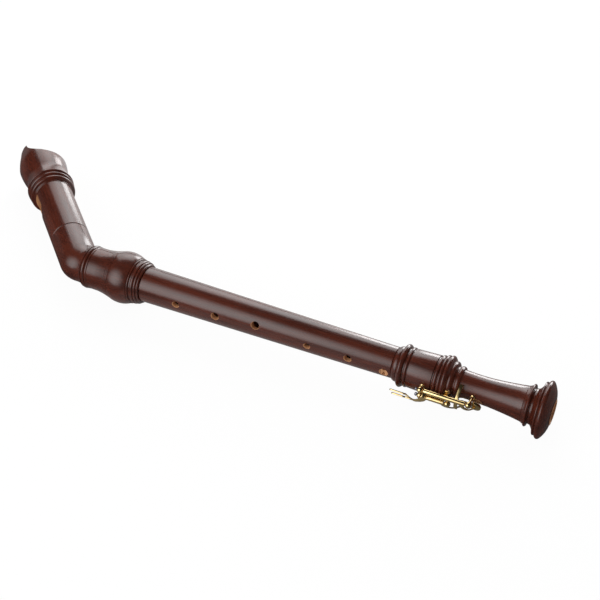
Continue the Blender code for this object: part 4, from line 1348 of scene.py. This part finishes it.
def soften_lamp(lamp):
    """Let a lamp fade from its middle to its rim, as cloth over a bulb does."""
    lamp.use_nodes = True
    recipe = Recipe(lamp.node_tree)
    spot = recipe.node("ShaderNodeNewGeometry", output="Parametric")
    across, up = recipe.axis(spot, 0) * 2 - 1, recipe.axis(spot, 1) * 2 - 1
    inside = (1 - across * across - up * up).larger(0.0)
    glow = recipe.node("ShaderNodeEmission", None, {"Strength": inside * inside})
    recipe.finish(glow, "ShaderNodeOutputLight")


def light_world(colours):
    """White behind the object, soft fill, and a dark ceiling in reflections."""
    world = bpy.data.worlds.new("studio")
    bpy.context.scene.world = world
    world.use_nodes = True
    recipe = Recipe(world.node_tree)
    direction = recipe.node("ShaderNodeTexCoord", output=0)
    height = recipe.axis(direction, 2)
    camera = recipe.node("ShaderNodeLightPath", output="Is Camera Ray")
    glossy = recipe.node("ShaderNodeLightPath", output="Is Glossy Ray")
    ceiling = recipe.between(height, *CEILING_BY_HEIGHT)
    rest = glossy * ceiling + (1 - glossy) * SOFT_FILL
    strength = camera + (1 - camera) * rest
    recipe.finish(recipe.node("ShaderNodeBackground", None, {
        "Color": full(colours.floor), "Strength": strength}), "ShaderNodeOutputWorld")


class RECORDER_OT_stage(bpy.types.Operator):
    """Lay the floor, hang the soft lamps and set the camera"""
    bl_idname = "recorder.stage"
    bl_label = "Stage"

    def execute(self, context):
        colours = context.scene.recorder_colours
        bpy.ops.object.select_all(action="DESELECT")
        bpy.ops.mesh.primitive_plane_add(size=FLOOR_SIZE, location=(0, 0, -FLOOR_DROP * MM))
        floor = context.object
        floor.name = "floor"
        floor.data.materials.append(floor_material(colours))
        light_world(colours)
        for name, (compass, rise, width, height, brightness, fades) in LAMPS.items():
            turn, climb = math.radians(compass), math.radians(rise)
            toward = Vector((math.sin(turn) * math.cos(climb), math.cos(turn) * math.cos(climb),
                             math.sin(climb)))
            bpy.ops.object.light_add(type="AREA", location=toward * LAMP_DISTANCE)
            lamp = context.object
            lamp.name = name
            lamp.rotation_euler = (-toward).to_track_quat("-Z", "Y").to_euler()
            lamp.data.shape = "RECTANGLE"
            lamp.data.size = width
            lamp.data.size_y = height
            lamp.data.energy = brightness * math.pi * width * height
            lamp.visible_camera = False
            if fades:
                soften_lamp(lamp.data)

        bpy.ops.object.camera_add()
        camera = context.object
        forward = Vector(CAMERA_FORWARD).normalized()
        right = forward.cross(Vector((0, 0, 1))).normalized()
        aim = Matrix((right, right.cross(forward), -forward)).transposed().to_4x4()
        camera.matrix_world = INSTRUMENT @ Matrix.Translation(Vector(CAMERA_PLACE) * MM) @ aim
        camera.data.lens = CAMERA_LENS
        camera.data.sensor_width = CAMERA_SENSOR
        context.scene.camera = camera
        context.scene.view_settings.view_transform = "Standard"
        return {"FINISHED"}


OPERATORS = (
    RECORDER_OT_head, RECORDER_OT_neck, RECORDER_OT_barrel, RECORDER_OT_middle,
    RECORDER_OT_foot, RECORDER_OT_corks, RECORDER_OT_posts, RECORDER_OT_keys,
    RECORDER_OT_stage,
)


class RECORDER_PT_panel(bpy.types.Panel):
    """Sizes, colours and steps of the recorder"""
    bl_idname = "RECORDER_PT_panel"
    bl_label = "Tenor recorder"
    bl_space_type = "VIEW_3D"
    bl_region_type = "UI"
    bl_category = "Recorder"

    def draw(self, context):
        for settings in (context.scene.recorder_sizes, context.scene.recorder_colours):
            column = self.layout.column(align=True)
            for name in settings.__annotations__:
                column.prop(settings, name)
        column = self.layout.column(align=True)
        for operator in OPERATORS:
            column.operator(operator.bl_idname)


CLASSES = (RecorderSizes, RecorderColours, *OPERATORS, RECORDER_PT_panel)


def register():
    for made in CLASSES:
        bpy.utils.register_class(made)
    bpy.types.Scene.recorder_sizes = PointerProperty(type=RecorderSizes)
    bpy.types.Scene.recorder_colours = PointerProperty(type=RecorderColours)


def unregister():
    del bpy.types.Scene.recorder_colours
    del bpy.types.Scene.recorder_sizes
    for made in reversed(CLASSES):
        bpy.utils.unregister_class(made)


def main():
    register()
    bpy.ops.recorder.stage()
    bpy.ops.recorder.head()
    bpy.ops.recorder.neck()
    bpy.ops.recorder.barrel()
    bpy.ops.recorder.middle()
    bpy.ops.recorder.foot()
    bpy.ops.recorder.corks()
    bpy.ops.recorder.posts()
    bpy.ops.recorder.keys()


if __name__ == "__main__":
    main()
